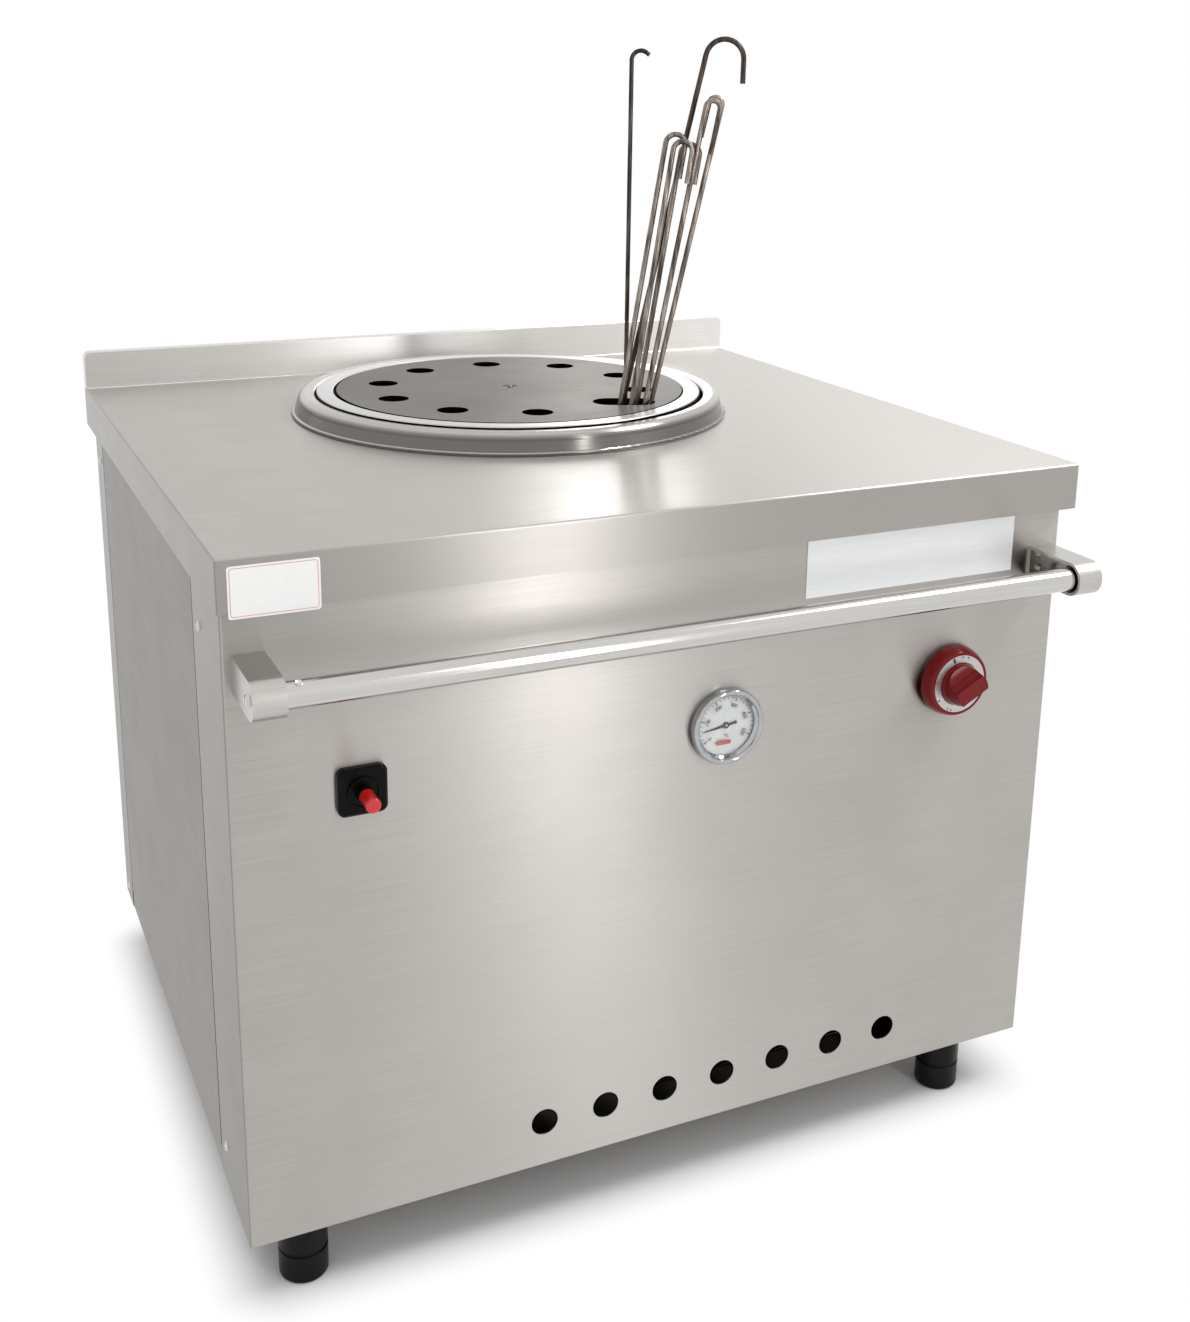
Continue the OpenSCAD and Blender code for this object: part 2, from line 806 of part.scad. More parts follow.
// The clay pot: straight neck, belly and a floor with the burner's hole
module clay_pot() {
    neck_r = ring_out_r - 0.5;
    color("peru") translate([0, mouth_y, 0]) rotate_extrude($fn = 120) polygon(concat(
        [[pot_hole_r, stand_z]],
        curve(pot_outer, 14),
        [[neck_r, rim_z - neck_h + 6], [neck_r, rim_z - 3], [neck_r - 3, rim_z], [pot_mouth_r + 3, rim_z]],
        curve(pot_inner, 14),
        [[pot_hole_r, floor_z]]));
}

module pot_insulation() {
    gap = 0.5;
    top_z = cab_top - 14;
    inner = drum_r - 1.5 - gap;
    color("linen") translate([0, mouth_y, 0]) difference() {
        rotate_extrude($fn = 120) polygon(concat(
            [[inner, stand_z]],
            [for (p = curve(pot_outer, 14)) [p.x + gap, p.y]],
            [[ring_out_r + gap, rim_z - neck_h + 6], [ring_out_r + gap, top_z], [inner, top_z]]));
        translate([0, -mouth_y, 0]) rod_y(thermo_x, thermo_z, in_front, mouth_y, probe_d / 2 + 0.5);
    }
}

module pot_drum() {
    color("gray") difference() {
        translate([0, mouth_y, stand_z]) difference() {
            cylinder(r = drum_r, h = cab_top - 14 - stand_z, $fn = 120);
            translate([0, 0, -past])
                cylinder(r = drum_r - 1.5, h = cab_top - stand_z + 2 * past, $fn = 120);
        }
        rod_y(thermo_x, thermo_z, in_front, mouth_y, probe_d / 2 + 0.5);
    }
}

stand_t = 4;

// Plate under the pot, on four legs of tube
module pot_stand() {
    leg_r = 15;
    leg_at = 215;
    color("dimgray") translate([0, mouth_y, 0]) {
        difference() {
            translate([0, 0, stand_z - stand_t]) cylinder(r = drum_r, h = stand_t, $fn = 120);
            translate([0, 0, stand_z - stand_t - past]) cylinder(r = pot_hole_r + 10, h = stand_t + 2 * past);
        }
        for (a = [45 : 90 : 315]) {
            translate([leg_at * cos(a), leg_at * sin(a), pan_top]) difference() {
                cylinder(r = leg_r, h = stand_z - stand_t - pan_top);
                translate([0, 0, -past]) cylinder(r = leg_r - 2, h = stand_z - stand_t - pan_top);
            }
        }
    }
}

// Dished plate on three legs that spreads the flame
module flame_deflector() {
    plate_r = 70;
    leg_at = 61;
    leg_h = 38;
    color("dimgray") translate([0, mouth_y, floor_z]) {
        difference() {
            translate([0, 0, leg_h]) cylinder(r1 = plate_r, r2 = plate_r - 14, h = 10);
            translate([0, 0, leg_h - 3]) cylinder(r1 = plate_r, r2 = plate_r - 14, h = 10);
        }
        for (a = [90 : 120 : 330]) {
            translate([leg_at * cos(a), leg_at * sin(a), 0]) cylinder(r = 4, h = leg_h + 3);
        }
    }
}

// ---------------------------------------------------------------- burner and gas

head_r = 38;
head_top = stand_z + 12;
mixer_z = foot_h + 34;
mixer_end = 235;
mixer_r = 16;

// Cast burner: round head with ports, riser and a horizontal mixer tube with a flared mouth
module burner() {
    ports = 16;
    color("dimgray") difference() {
        union() {
            translate([0, mouth_y, head_top - 26]) cylinder(r = head_r, h = 26);
            translate([0, mouth_y, head_top]) cylinder(r1 = head_r, r2 = head_r - 8, h = 6);
            translate([0, mouth_y, mixer_z]) cylinder(r = 19, h = head_top - 26 - mixer_z);
            translate([0, mouth_y, pan_top]) cylinder(r = 12, h = mixer_z - pan_top);
            rod_x(0, mixer_end - 20, mouth_y, mixer_z, mixer_r);
            translate([mixer_end - 20, mouth_y, mixer_z]) rotate([0, 90, 0])
                cylinder(r1 = mixer_r, r2 = mixer_r + 7, h = 20);
        }
        translate([0, mouth_y, mixer_z]) cylinder(r = 15, h = head_top - 22 - mixer_z);
        translate([0, mouth_y, head_top - 22]) cylinder(r = head_r - 5, h = 17);
        rod_x(0, mixer_end + past, mouth_y, mixer_z, mixer_r - 4);
        for (i = [0 : ports - 1]) {
            translate([0, mouth_y, head_top - 8]) rotate(i * 360 / ports)
                rod_x(head_r - 8, head_r + past, 0, 0, 1.6);
        }
    }
}

injector_x = mixer_end + 6;
valve_y = in_front + 14;
valve_back = valve_y + 38;
pipe_r = 5;
feed_x = inlet_x;
burner_feed = [
    [knob_x - 12, valve_y + 18, knob_z - 26],
    [knob_x - 12, valve_y + 18, mixer_z],
    [knob_x - 12, mouth_y, mixer_z],
    [injector_x + 16, mouth_y, mixer_z]];

// Brass injector on an angle bracket in front of the mixer tube's mouth
module injector() {
    color("goldenrod") difference() {
        union() {
            rod_x(injector_x, injector_x + 16, mouth_y, mixer_z, 7);
            rod_x(injector_x - 6, injector_x, mouth_y, mixer_z, 3.5);
            box([injector_x + 4, mouth_y - 14, pan_top], [injector_x + 7, mouth_y + 14, mixer_z + 14]);
            box([injector_x + 4, mouth_y - 14, pan_top], [injector_x + 30, mouth_y + 14, pan_top + 3]);
        }
        rod_x(injector_x - 7, injector_x + 17, mouth_y, mixer_z, 1);
    }
}

module burner_pipe() {
    color("goldenrod") tube_run(burner_feed, pipe_r, 18, 3.5);
}

supply = [
    [inlet_x, in_back - 22, inlet_z],
    [inlet_x, valve_y + 18, inlet_z],
    [inlet_x, valve_y + 18, knob_z - 26]];

module inlet_pipe() {
    color("goldenrod") tube_run(supply, pipe_r, 18, 3.5);
}

// Threaded gas connection through the rear panel, with its lock nut inside
module gas_inlet() {
    color("goldenrod") difference() {
        union() {
            rod_y(inlet_x, inlet_z, in_back - 22, cab_back + 22, inlet_r);
            translate([inlet_x, in_back, inlet_z]) rotate([90, 0, 0]) cylinder(r = 16, h = 10, $fn = 6);
            translate([inlet_x, cab_back + 8, inlet_z]) rotate([90, 0, 0]) cylinder(r = 16, h = 8, $fn = 6);
        }
        rod_y(inlet_x, inlet_z, in_back - 12, cab_back + 23, 7);
        rod_y(inlet_x, inlet_z, in_back - 23, in_back - 11, 3.5);
    }
}

// Valve block behind the knob, held to the panel by its threaded neck
module gas_valve() {
    color("darkgoldenrod") difference() {
        union() {
            box([knob_x - 24, valve_y, knob_z - 18], [knob_x + 34, valve_back, knob_z + 18]);
            rod_y(knob_x, knob_z, in_front, valve_y, 12);
            for (x = [knob_x - 12, feed_x]) {
                translate([x, valve_y + 18, knob_z - 26]) cylinder(r = 9, h = 8);
            }
        }
        rod_y(knob_x, knob_z, in_front - past, valve_y + 22, stem_d / 2 + run);
    }
}

push_travel = 4;
knob_gap = push_travel + 0.6;

module valve_stem() {
    stem_front = cab_front - knob_gap - knob_h;
    color("silver") rod_y(knob_x, knob_z, stem_front, valve_y + 22 - push_travel - 2, stem_d / 2);
}

knob_ring_out = 31.5;
knob_ring_in = 23.5;
ring_sink = 1.2;

// The turning knob: curved skirt, sunk front for the scale ring, and a hub that two
// lying finger hollows cut down to a bar grip
module knob() {
    front_lip = 34;
    bar_w = 17.5;
    grip_end_r = 19;
    hollow_r = 20;
    color("darkred") translate([knob_x, cab_front - knob_gap, knob_z]) rotate([90, 0, 0]) difference() {
        union() {
            rotate_extrude() polygon(concat(
                [[0, 0]],
                curve([[knob_d / 2, 0], [knob_d / 2 - 0.6, knob_h * 0.5],
                    [front_lip + 1.6, knob_h - 0.6], [front_lip, knob_h]]),
                [[knob_ring_out, knob_h], [knob_ring_out, knob_h - ring_sink], [0, knob_h - ring_sink]]));
            rotate(-grip_turn) difference() {
                translate([0, 0, knob_h - ring_sink - past])
                    cylinder(r1 = knob_ring_in, r2 = grip_end_r, h = grip_h + ring_sink + past);
                for (side = [-1, 1]) {
                    translate([side * (bar_w / 2 + hollow_r - 0.4), -2 * knob_ring_in, knob_h + grip_h + 2])
                        rotate([-90, 0, 0]) cylinder(r = hollow_r, h = 4 * knob_ring_in);
                }
            }
        }
        translate([0, 0, -past]) cylinder(r = stem_d / 2 + run, h = knob_h + 2);
        // Hollow under the skirt
        translate([0, 0, -past]) difference() {
            cylinder(r = front_lip - 1, h = knob_h - 4);
            translate([0, 0, -past]) cylinder(r = 9, h = knob_h);
        }
    }
}

// Scale ring let into the knob's front
module knob_ring() {
    ring_back = cab_front - knob_gap - knob_h + ring_sink;
    color("silver") difference() {
        rod_y(knob_x, knob_z, ring_back - ring_sink + 0.2, ring_back, knob_ring_out - 0.1);
        rod_y(knob_x, knob_z, ring_back - ring_sink - past, ring_back + past, knob_ring_in + 0.1);
    }
}

// ---------------------------------------------------------------- igniter

igniter_body_r = 12;
igniter_body_back = in_front + 66;
collar_front = cab_front - 10;

plate_t = 8;
// Sleeve that the button slides in
sleeve_out = 8;
sleeve_r = button_d / 2 + 1;

// The square plate's front layer, which slopes in by its own height on all sides
module sloped_square(half, corner, rise) {
    straight = half - corner;
    for (turn = [0, 90]) {
        rotate(turn) translate([0, straight, 0]) rotate([90, 0, 0]) linear_extrude(2 * straight)
            polygon([[-half, 0], [half, 0], [half - rise, rise], [rise - half, rise]]);
    }
    for (x = [-straight, straight], y = [-straight, straight]) {
        translate([x, y, 0]) cylinder(r1 = corner, r2 = corner - rise, h = rise);
    }
}

module igniter_plate() {
    corner = 7;
    bevel = 2.5;
    half = igniter_plate_w / 2;
    color("black") translate([igniter_x, cab_front, igniter_z]) rotate([90, 0, 0]) difference() {
        union() {
            linear_extrude(plate_t - bevel) rounded_square(half, corner);
            translate([0, 0, plate_t - bevel]) sloped_square(half, corner, bevel);
        }
        translate([0, 0, -past]) cylinder(r = igniter_body_r + run, h = plate_t + 2 * past);
    }
}

module rounded_square(half, corner) {
    square([2 * half, 2 * (half - corner)], center = true);
    square([2 * (half - corner), 2 * half], center = true);
    for (x = [-1, 1]) {
        for (y = [-1, 1]) {
            translate([x * (half - corner), y * (half - corner)]) circle(corner);
        }
    }
}

// Piezo igniter: collar in front of the plate, threaded barrel, nut behind the panel
module igniter_body() {
    color("black") difference() {
        union() {
            rod_y(igniter_x, igniter_z, collar_front, cab_front - plate_t, igniter_body_r + 3);
            rod_y(igniter_x, igniter_z, collar_front - sleeve_out, cab_front - plate_t, sleeve_r);
            rod_y(igniter_x, igniter_z, collar_front, igniter_body_back, igniter_body_r);
            rod_y(igniter_x, igniter_z, in_front, in_front + 6, igniter_body_r + 6);
        }
        rod_y(igniter_x, igniter_z, collar_front - sleeve_out - past, in_front + 30, button_d / 2 + run);
        // Dished front round the button's sleeve
        translate([igniter_x, collar_front, igniter_z]) rotate([-90, 0, 0]) difference() {
            translate([0, 0, -past]) cylinder(r = igniter_body_r + 1.6, h = 1.6 + past);
            translate([0, 0, -2 * past]) cylinder(r = sleeve_r, h = 4 * past);
        }
    }
}

button_travel = 8;

module igniter_button() {
    button_front = collar_front - button_out;
    end_r = button_d / 2;
    color("red") {
        rod_y(igniter_x, igniter_z, button_front + 1.5, in_front + 30 - button_travel - 1, end_r);
        translate([igniter_x, button_front + 1.5, igniter_z]) rotate([90, 0, 0])
            cylinder(r1 = end_r, r2 = end_r - 1.5, h = 1.5);
    }
}

// ---------------------------------------------------------------- pilot, thermocouple and spark

pilot_y = mouth_y - head_r - 8;
pilot_side = 11;
pilot_low = head_top - 44;
wire_z = pan_top + 8;

// Pilot burner and the bracket that it shares with the probe and the electrode
module pilot_burner() {
    reach = mouth_y - head_r + 4;
    color("silver") difference() {
        union() {
            box([-18, pilot_y - 6, head_top - 34], [18, reach, head_top - 32]);
            box([-18, reach - 2, head_top - 34], [18, reach, head_top - 26]);
            translate([0, pilot_y, head_top - 32]) cylinder(r = 4, h = 22);
            translate([0, pilot_y, pilot_low]) cylinder(r = 4, h = 10);
        }
        for (side = [-1, 1]) {
            translate([side * pilot_side, pilot_y, head_top - 35]) cylinder(r = (side < 0 ? 3 : 2) + run, h = 4);
        }
    }
}

// The pilot's thin gas pipe, from the valve's underside
pilot_feed = [
    [knob_x + 5, valve_y + 33, knob_z - 18],
    [knob_x + 5, valve_y + 33, wire_z + 12],
    [0, valve_y + 33, wire_z + 12],
    [0, pilot_y, wire_z + 12],
    [0, pilot_y, pilot_low]];

module pilot_pipe() {
    color("goldenrod") tube_run(pilot_feed, 2.5, 10);
}

thermocouple_run = [
    [pilot_side, pilot_y, head_top - 12],
    [pilot_side, pilot_y, wire_z],
    [pilot_side, pilot_y - 60, wire_z],
    [mixer_end + 45, pilot_y - 60, wire_z],
    [mixer_end + 45, valve_y + 26, wire_z],
    [mixer_end + 45, valve_y + 26, knob_z],
    [knob_x - 24, valve_y + 26, knob_z]];

module thermocouple() {
    color("peru") tube_run(thermocouple_run, 2, 8);
}

lead_run = [
    [-pilot_side, pilot_y, pilot_low],
    [-pilot_side, pilot_y, wire_z],
    [-pilot_side, in_front + 90, wire_z],
    [igniter_x, in_front + 90, wire_z],
    [igniter_x, in_front + 90, igniter_z],
    [igniter_x, igniter_body_back, igniter_z]];

// Ceramic-sleeved electrode with its bare tip beside the pilot
module spark_electrode() {
    color("white") {
        translate([-pilot_side, pilot_y, pilot_low]) cylinder(r = 3, h = 30);
        translate([-pilot_side, pilot_y, pilot_low + 30]) cylinder(r = 1, h = 5);
    }
}

module ignition_lead() {
    color("black") tube_run(lead_run, 2.5, 10);
}

// ---------------------------------------------------------------- thermometer

case_r = bezel_d / 2;
dial_r = case_r - 7.5;
dial_y = cab_front - 1.4;
needle_y = dial_y - 1.2;
glass_y = needle_y - 1.4;
glass_t = 1.2;

// Case with a rolled bezel round a funnel-shaped opening
module thermometer_case() {
    lip = 2.8;
    glass_top = cab_front - glass_y + glass_t;
    color("silver") translate([thermo_x, cab_front, thermo_z]) rotate([90, 0, 0]) difference() {
        rotate_extrude($fn = 120) polygon(concat(
            [[0, 0], [case_r - 2, 0], [case_r - 2, 3], [case_r, 4]],
            arc(case_r - lip, case_h - lip, lip, 0, 180, 14),
            [[dial_r - 0.6, glass_top + 0.1], [dial_r + run, glass_top], [dial_r + run, 0.6], [0, 0.6]]));
        translate([0, 0, -past]) cylinder(r = 4, h = 5);
    }
}

probe_tip = mouth_y - sqrt(pow(pot_belly_r + pot_wall + 3, 2) - pow(thermo_x, 2)) - 1.5;

module thermometer_stem() {
    color("silver") {
        rod_y(thermo_x, thermo_z, cab_front, probe_tip, probe_d / 2);
        rod_y(thermo_x, thermo_z, in_front, in_front + 6, probe_d / 2 + 7);
    }
}

// Dial plate with the needle's pivot pin
module thermometer_dial() {
    color("white") {
        rod_y(thermo_x, thermo_z, dial_y, cab_front - 0.6, dial_r);
        rod_y(thermo_x, thermo_z, needle_y - 0.9, dial_y, 1);
    }
}

needle_rest = 188.7;

// The needle's middle plane is at needle_y
module thermometer_needle() {
    needle_t = 0.8;
    tip = 26;
    tail = 12;
    color("black") translate([thermo_x, needle_y + needle_t / 2, thermo_z]) rotate([90, 0, 0]) {
        rotate(needle_rest) difference() {
            linear_extrude(needle_t) {
                circle(3.4);
                polygon([[0, -1.5], [tip, -0.3], [tip, 0.3], [0, 1.5]]);
                polygon([[0, -1.6], [0, 1.6], [-tail, 0.7], [-tail, -0.7]]);
                translate([-tail + 1.6, 0]) circle(1.6);
            }
            translate([0, 0, -past]) cylinder(r = 1 + run, h = needle_t + 2 * past);
        }
    }
}

module thermometer_glass() {
    color([0.8, 0.9, 0.9, 0.4]) rod_y(thermo_x, thermo_z, glass_y - glass_t, glass_y, dial_r);
}

// ---------------------------------------------------------------- skewers

// A straight rod with a pointed lower end and a hook at the top, which bends to side * X.
// Each length is drawn a hair thinner than the one it grows out of, and starts a little inside it.
module hooked_rod(d, below, above, bend_r, bend_a, leg, side) {
    point = 14;
    thinner = 0.04;
    sunk = 0.1;
    r = d / 2;
    mirror([side < 0 ? 1 : 0, 0, 0]) {
        translate([0, 0, -below]) cylinder(r1 = 0.6, r2 = r, h = point);
        translate([0, 0, point - below]) cylinder(r = r, h = below - point + above);
        translate([bend_r, 0, above]) rotate([90, 0, 0]) rotate(180 - bend_a - sunk) {
            rotate_extrude(angle = bend_a + 2 * sunk) translate([bend_r, 0]) circle(r - thinner);
            translate([bend_r, 2 * sunk, 0]) rotate([90, 0, 0]) cylinder(r = r - 2 * thinner, h = leg);
        }
    }
}

// Each rod stands in the slot at [along the slot, layer across it], leans along the slot by an angle,
// and has its bend at a height above the lid: [along, layer, lean, height, bend radius, bend angle,
// free end, side that it bends to]
skewers = [
    [-5.8, -1.5, 8.82, 298, 10.8, 180, 36, 1],
    [6.3, -2.5, 8.22, 291, 10.5, 180, 34, 1],
    [14.4, 0.5, 8.75, 287, 10.5, 180, 32, 1],
    [22, -1.5, 10.37, 337, 7.8, 180, 49, 1],
    [29.2, -0.5, 12.11, 338, 7.2, 180, 38, -1]];
hook_thin = [2.5, 2.5, 0.12, 385, 10.2, 128, 4, 1];
hook_large = [-2, 1.5, 12.41, 392, 21, 168, 26, 1];

module in_slot(rod, d) {
    lean = rod[2];
    drop = lid_z - floor_z - hair;
    on_lid(slot_r, slot_dir) rotate(slot_turn) translate([rod[0], rod[1] * skewer_layer, 0])
        rotate([0, lean, 0]) hooked_rod(d, (drop - 0.6 * sin(lean)) / cos(lean), rod[3] / cos(lean),
            rod[4], rod[5], rod[6], rod[7]);
}

module skewer(i) {
    color("dimgray") in_slot(skewers[i - 1], skewer_d);
}

module skewer_1() {
    skewer(1);
}

module skewer_2() {
    skewer(2);
}

module skewer_3() {
    skewer(3);
}

module skewer_4() {
    skewer(4);
}

module skewer_5() {
    skewer(5);
}

module hook_rod_thin() {
    color("gray") in_slot(hook_thin, hook_rod_d);
}

module hook_rod_large() {
    color("dimgray") in_slot(hook_large, skewer_d);
}

// ---------------------------------------------------------------- nodes

worktop();
upstand_main();
upstand_end();
collar();
mouth_ring();
lid_disc();
front_panel();
side_panel_left();
side_panel_right();
rear_panel();
base_pan();
frame_posts();
top_frame();
base_frame();
panel_screws();
foot_sleeves();
foot_front_left();
foot_front_right();
foot_rear_left();
foot_rear_right();
rail_tube();
rail_bracket_left();
rail_bracket_right();
rail_bushes();
rail_screws();
clay_pot();
pot_insulation();
pot_drum();
pot_stand();
flame_deflector();
burner();
injector();
pilot_burner();
thermocouple();
spark_electrode();
ignition_lead();
gas_inlet();
inlet_pipe();
burner_pipe();
pilot_pipe();
gas_valve();
valve_stem();
knob();
knob_ring();
igniter_plate();
igniter_body();
igniter_button();
thermometer_case();
thermometer_stem();
thermometer_dial();
thermometer_needle();
thermometer_glass();
skewer_1();
skewer_2();
skewer_3();
skewer_4();
skewer_5();
hook_rod_thin();
hook_rod_large();
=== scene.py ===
import json
import math

import bpy
from mathutils import Matrix, Vector

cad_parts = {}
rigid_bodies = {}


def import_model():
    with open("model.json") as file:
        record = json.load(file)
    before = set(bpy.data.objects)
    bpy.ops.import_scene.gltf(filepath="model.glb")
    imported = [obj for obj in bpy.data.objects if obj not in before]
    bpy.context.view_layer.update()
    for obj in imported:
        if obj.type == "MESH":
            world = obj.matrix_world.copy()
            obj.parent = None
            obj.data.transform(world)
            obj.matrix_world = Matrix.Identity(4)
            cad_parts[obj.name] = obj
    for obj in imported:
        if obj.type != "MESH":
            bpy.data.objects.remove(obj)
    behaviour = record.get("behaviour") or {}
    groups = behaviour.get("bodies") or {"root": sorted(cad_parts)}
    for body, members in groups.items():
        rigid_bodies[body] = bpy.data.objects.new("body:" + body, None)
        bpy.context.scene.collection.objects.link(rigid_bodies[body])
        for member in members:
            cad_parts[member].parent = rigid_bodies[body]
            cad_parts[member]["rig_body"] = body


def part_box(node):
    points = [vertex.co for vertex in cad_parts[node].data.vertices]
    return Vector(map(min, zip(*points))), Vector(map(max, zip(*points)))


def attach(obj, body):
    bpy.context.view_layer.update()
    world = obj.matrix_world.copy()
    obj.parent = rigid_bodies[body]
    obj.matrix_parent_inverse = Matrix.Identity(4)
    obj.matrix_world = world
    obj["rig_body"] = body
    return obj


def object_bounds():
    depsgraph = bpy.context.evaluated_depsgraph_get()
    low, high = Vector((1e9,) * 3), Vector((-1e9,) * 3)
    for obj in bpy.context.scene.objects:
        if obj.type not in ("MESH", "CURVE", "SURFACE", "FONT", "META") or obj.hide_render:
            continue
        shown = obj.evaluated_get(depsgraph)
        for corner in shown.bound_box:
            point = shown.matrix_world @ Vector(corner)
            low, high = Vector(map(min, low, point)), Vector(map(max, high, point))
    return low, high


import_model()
cad_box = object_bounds()

bl_info = {
    "name": "Clay tandoor looks",
    "version": (1, 0, 0),
    "blender": (4, 5, 0),
    "location": "3D View > Sidebar > Tandoor",
    "description": "Finishes, bare plates, dial marks and studio for the gas-heated clay tandoor",
    "category": "Object",
}

MM = 0.001


def box_middle(node):
    """The middle of a CAD node's box."""
    low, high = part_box(node)
    return (low + high) / 2


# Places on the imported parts
PANEL_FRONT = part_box("front_panel")[0].y
EDGE_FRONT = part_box("worktop")[0].y
MOUTH = box_middle("collar")
THERMO = box_middle("thermometer_dial")
KNOB = box_middle("knob_ring")

# Facing at which a wall's painted shade starts, and at which it is full: for walls that stand
# upright, and for walls that face left or right
UPRIGHT = ("Z", 0.75, 0.35)
FLANK = ("X", 0.5, 0.9)
# A sheet with its grain along X is folded where it faces along X more than this
FOLDED = 0.8
# The part of the noise's values that goes from the dark tone to the bright one
NOISE_LOW = 0.3
NOISE_HIGH = 0.7
# How much of a brushed sheet's pattern is scratches, and how much is smears
SCRATCH_SHARE = 0.65
SMEAR_SHARE = 0.35
SMEAR_MM = 90.0
LATHE_LINE_MM = 1.2
# Relief of the scratches
SCRATCH_BUMP = 0.12
SCRATCH_DEPTH = 0.02 * MM
# Roughness varies by this share of itself, both ways
ROUGH_SPREAD = 0.1

# Soot: size of its clouds, how high they reach, and the heights between which the pot darkens
# towards its mouth; then the heights between which painted shade darkens it towards its base, in
# metres
SOOT_CLOUD_MM = 80.0
SOOT_LIFT = 0.2
SOOT_MOUTH = (0.4, 0.62)
PAINTED_SHADE_BASE = (0.22, 0.17)
# Dust on the glass: size of its clouds, the noise's values that they span, and its roughness
DUST_MM = 6.0
DUST_NOISE = (0.4, 0.8)
DUST_ROUGH = (0.01, 0.05)

# Flat margin round a plate's face, thickness and corners of the plate and the sticker, thickness
# and inset of the sticker's printed frame, and thickness of the print on the dial and the knob
MARGIN = 0.5 * MM
PLATE_THICK = 0.8 * MM
PLATE_CORNER = 0.8 * MM
STICKER_THICK = 0.3 * MM
STICKER_CORNER = 2.5 * MM
FRAME_THICK = 0.03 * MM
FRAME_IN = 1.8 * MM
PRINT_THICK = 0.12 * MM

# The dial's scale: its steps, how often one is long and has a figure, how much each figure adds,
# the marks' outer radius, and the inner radius and width of each kind
SCALE_STEPS = 25
LONG_EVERY = 5
FIGURE_ADDS = 100
SCALE_OUTER = 29.8 * MM
LONG_MARK = (25.6 * MM, 1.0 * MM)
SHORT_MARK = (27.4 * MM, 0.55 * MM)
# The figures and the unit below the middle: place, height, depth, and how bold they are
FIGURE_RADIUS = 21.6 * MM
FIGURE_HEIGHT = 5.4 * MM
UNIT_BELOW = 10.5 * MM
UNIT_HEIGHT = 4.6 * MM
FIGURE_DEPTH = 0.05 * MM
FIGURE_BOLD = 0.012
# The red bar on the dial: its left end and top from the dial's middle, width, height, corners
BAR_LEFT = -11 * MM
BAR_TOP = -15.2 * MM
BAR_WIDTH = 16.5 * MM
BAR_HEIGHT = 4.6 * MM
BAR_CORNER = 2.0 * MM

# Outer radius of the marks on the knob's ring, and each mark's direction, length and width, in
# degrees and millimetres
KNOB_MARK_OUTER = 30.6
KNOB_MARKS = ((108, 5.4, 2.6), (86, 2.6, 1.1), (72, 2.6, 1.1), (169, 2.4, 0.9),
              (212, 2.2, 1.6), (243, 2.2, 1.1), (252, 2.2, 1.1))

# The rivet on the rail: its place along the rail, how far up from the front it sits, its radius,
# its height, how far it stands out, the width of its rim, the depth inside it and its round edge
RIVET_X = -0.396
RIVET_LEAN = 68
RIVET_RADIUS = 3.4 * MM
RIVET_HEIGHT = 1.6 * MM
RIVET_OUT = 0.3 * MM
RIVET_RIM = 1.5 * MM
RIVET_SINK = 0.7 * MM
RIVET_EDGE = 0.5 * MM
# Slack in finding the rivet's edges by their place
NEAR = 0.1 * MM
# The ground weld along the upstand's foot
WELD_RADIUS = 1.5 * MM
WELD_MARGIN = 0.4 * MM

# The shadow on the floor ends this far inside the base, and fades over this much beyond that
SHADOW_IN = 32 * MM
SHADOW_FADE = 75 * MM
# The floor's width, and its tones for light and for what is seen; the darker seen tone is painted
# shade, which deepens the shadow under the base
FLOOR_SIZE = 60
FLOOR_LIT = "#EEEEEE"
FLOOR_SEEN_SHADE = "#D8D8D8"
# Strength of the soft light at the horizon and overhead, and the height where it is full
SOFT_LOW = 0.32
SOFT_HIGH = 1.1
SOFT_TOP = 0.8
# Place, aim, width, height and radiance of each lamp. One stands high on the right, a little to
# the front, and two tall strips, one in front and one behind, draw bright bands down the brushing
LAMPS = {
    "key": ((2.1, -0.8, 3.0), (0.2, -0.2, 0.6), 1.0, 1.0, 11.0),
    "front strip": ((0.97, -3.1, 1.3), (0, -0.2, 0.6), 0.2, 2.6, 11.0),
    "back strip": ((1.56, 3.0, 1.7), (0, 0, 0.7), 0.4, 2.8, 3.4),
}
# The camera that brings the oven's corners onto the photograph's: lens and sensor in millimetres,
# shift as a share of the frame's longer side, place in metres, turn in degrees and clipping
LENS_MM = 43.134
SENSOR_MM = 36.0
SHIFT = (-0.0103, -0.1287)
CAMERA_PLACE = (-0.68297, -1.62181, 1.13281)
CAMERA_TURN = (75.3482, -0.7900, -24.9141)
CAMERA_CLIP = (0.05, 50)


# ---------------------------------------------------------------- helpers

def linear(hex_colour):
    """A colour written as sRGB hex, as linear red, green, blue and full alpha."""
    parts = [int(hex_colour[i:i + 2], 16) / 255 for i in (1, 3, 5)]
    return [p / 12.92 if p <= 0.04045 else ((p + 0.055) / 1.055) ** 2.4 for p in parts] + [1.0]


def per_metre(size_mm):
    """How often a pattern of a size in millimetres repeats in a metre."""
    return 1000 / size_mm


def add_node(tree, kind, inputs=None, **settings):
    """Adds a node, sets its properties, and fills its inputs with values or links."""
    node = tree.nodes.new(kind)
    for key, value in settings.items():
        setattr(node, key, value)
    for key, value in (inputs or {}).items():
        if isinstance(value, bpy.types.NodeSocket):
            tree.links.new(value, node.inputs[key])
        else:
            node.inputs[key].default_value = value
    return node


def new_material(name, **sockets):
    """A material with one Principled shader, whose sockets are set from the keywords."""
    material = bpy.data.materials.new(name)
    material.use_nodes = True
    shader = material.node_tree.nodes["Principled BSDF"]
    for key, value in sockets.items():
        shader.inputs[key.replace("_", " ")].default_value = value
    return material, material.node_tree, shader


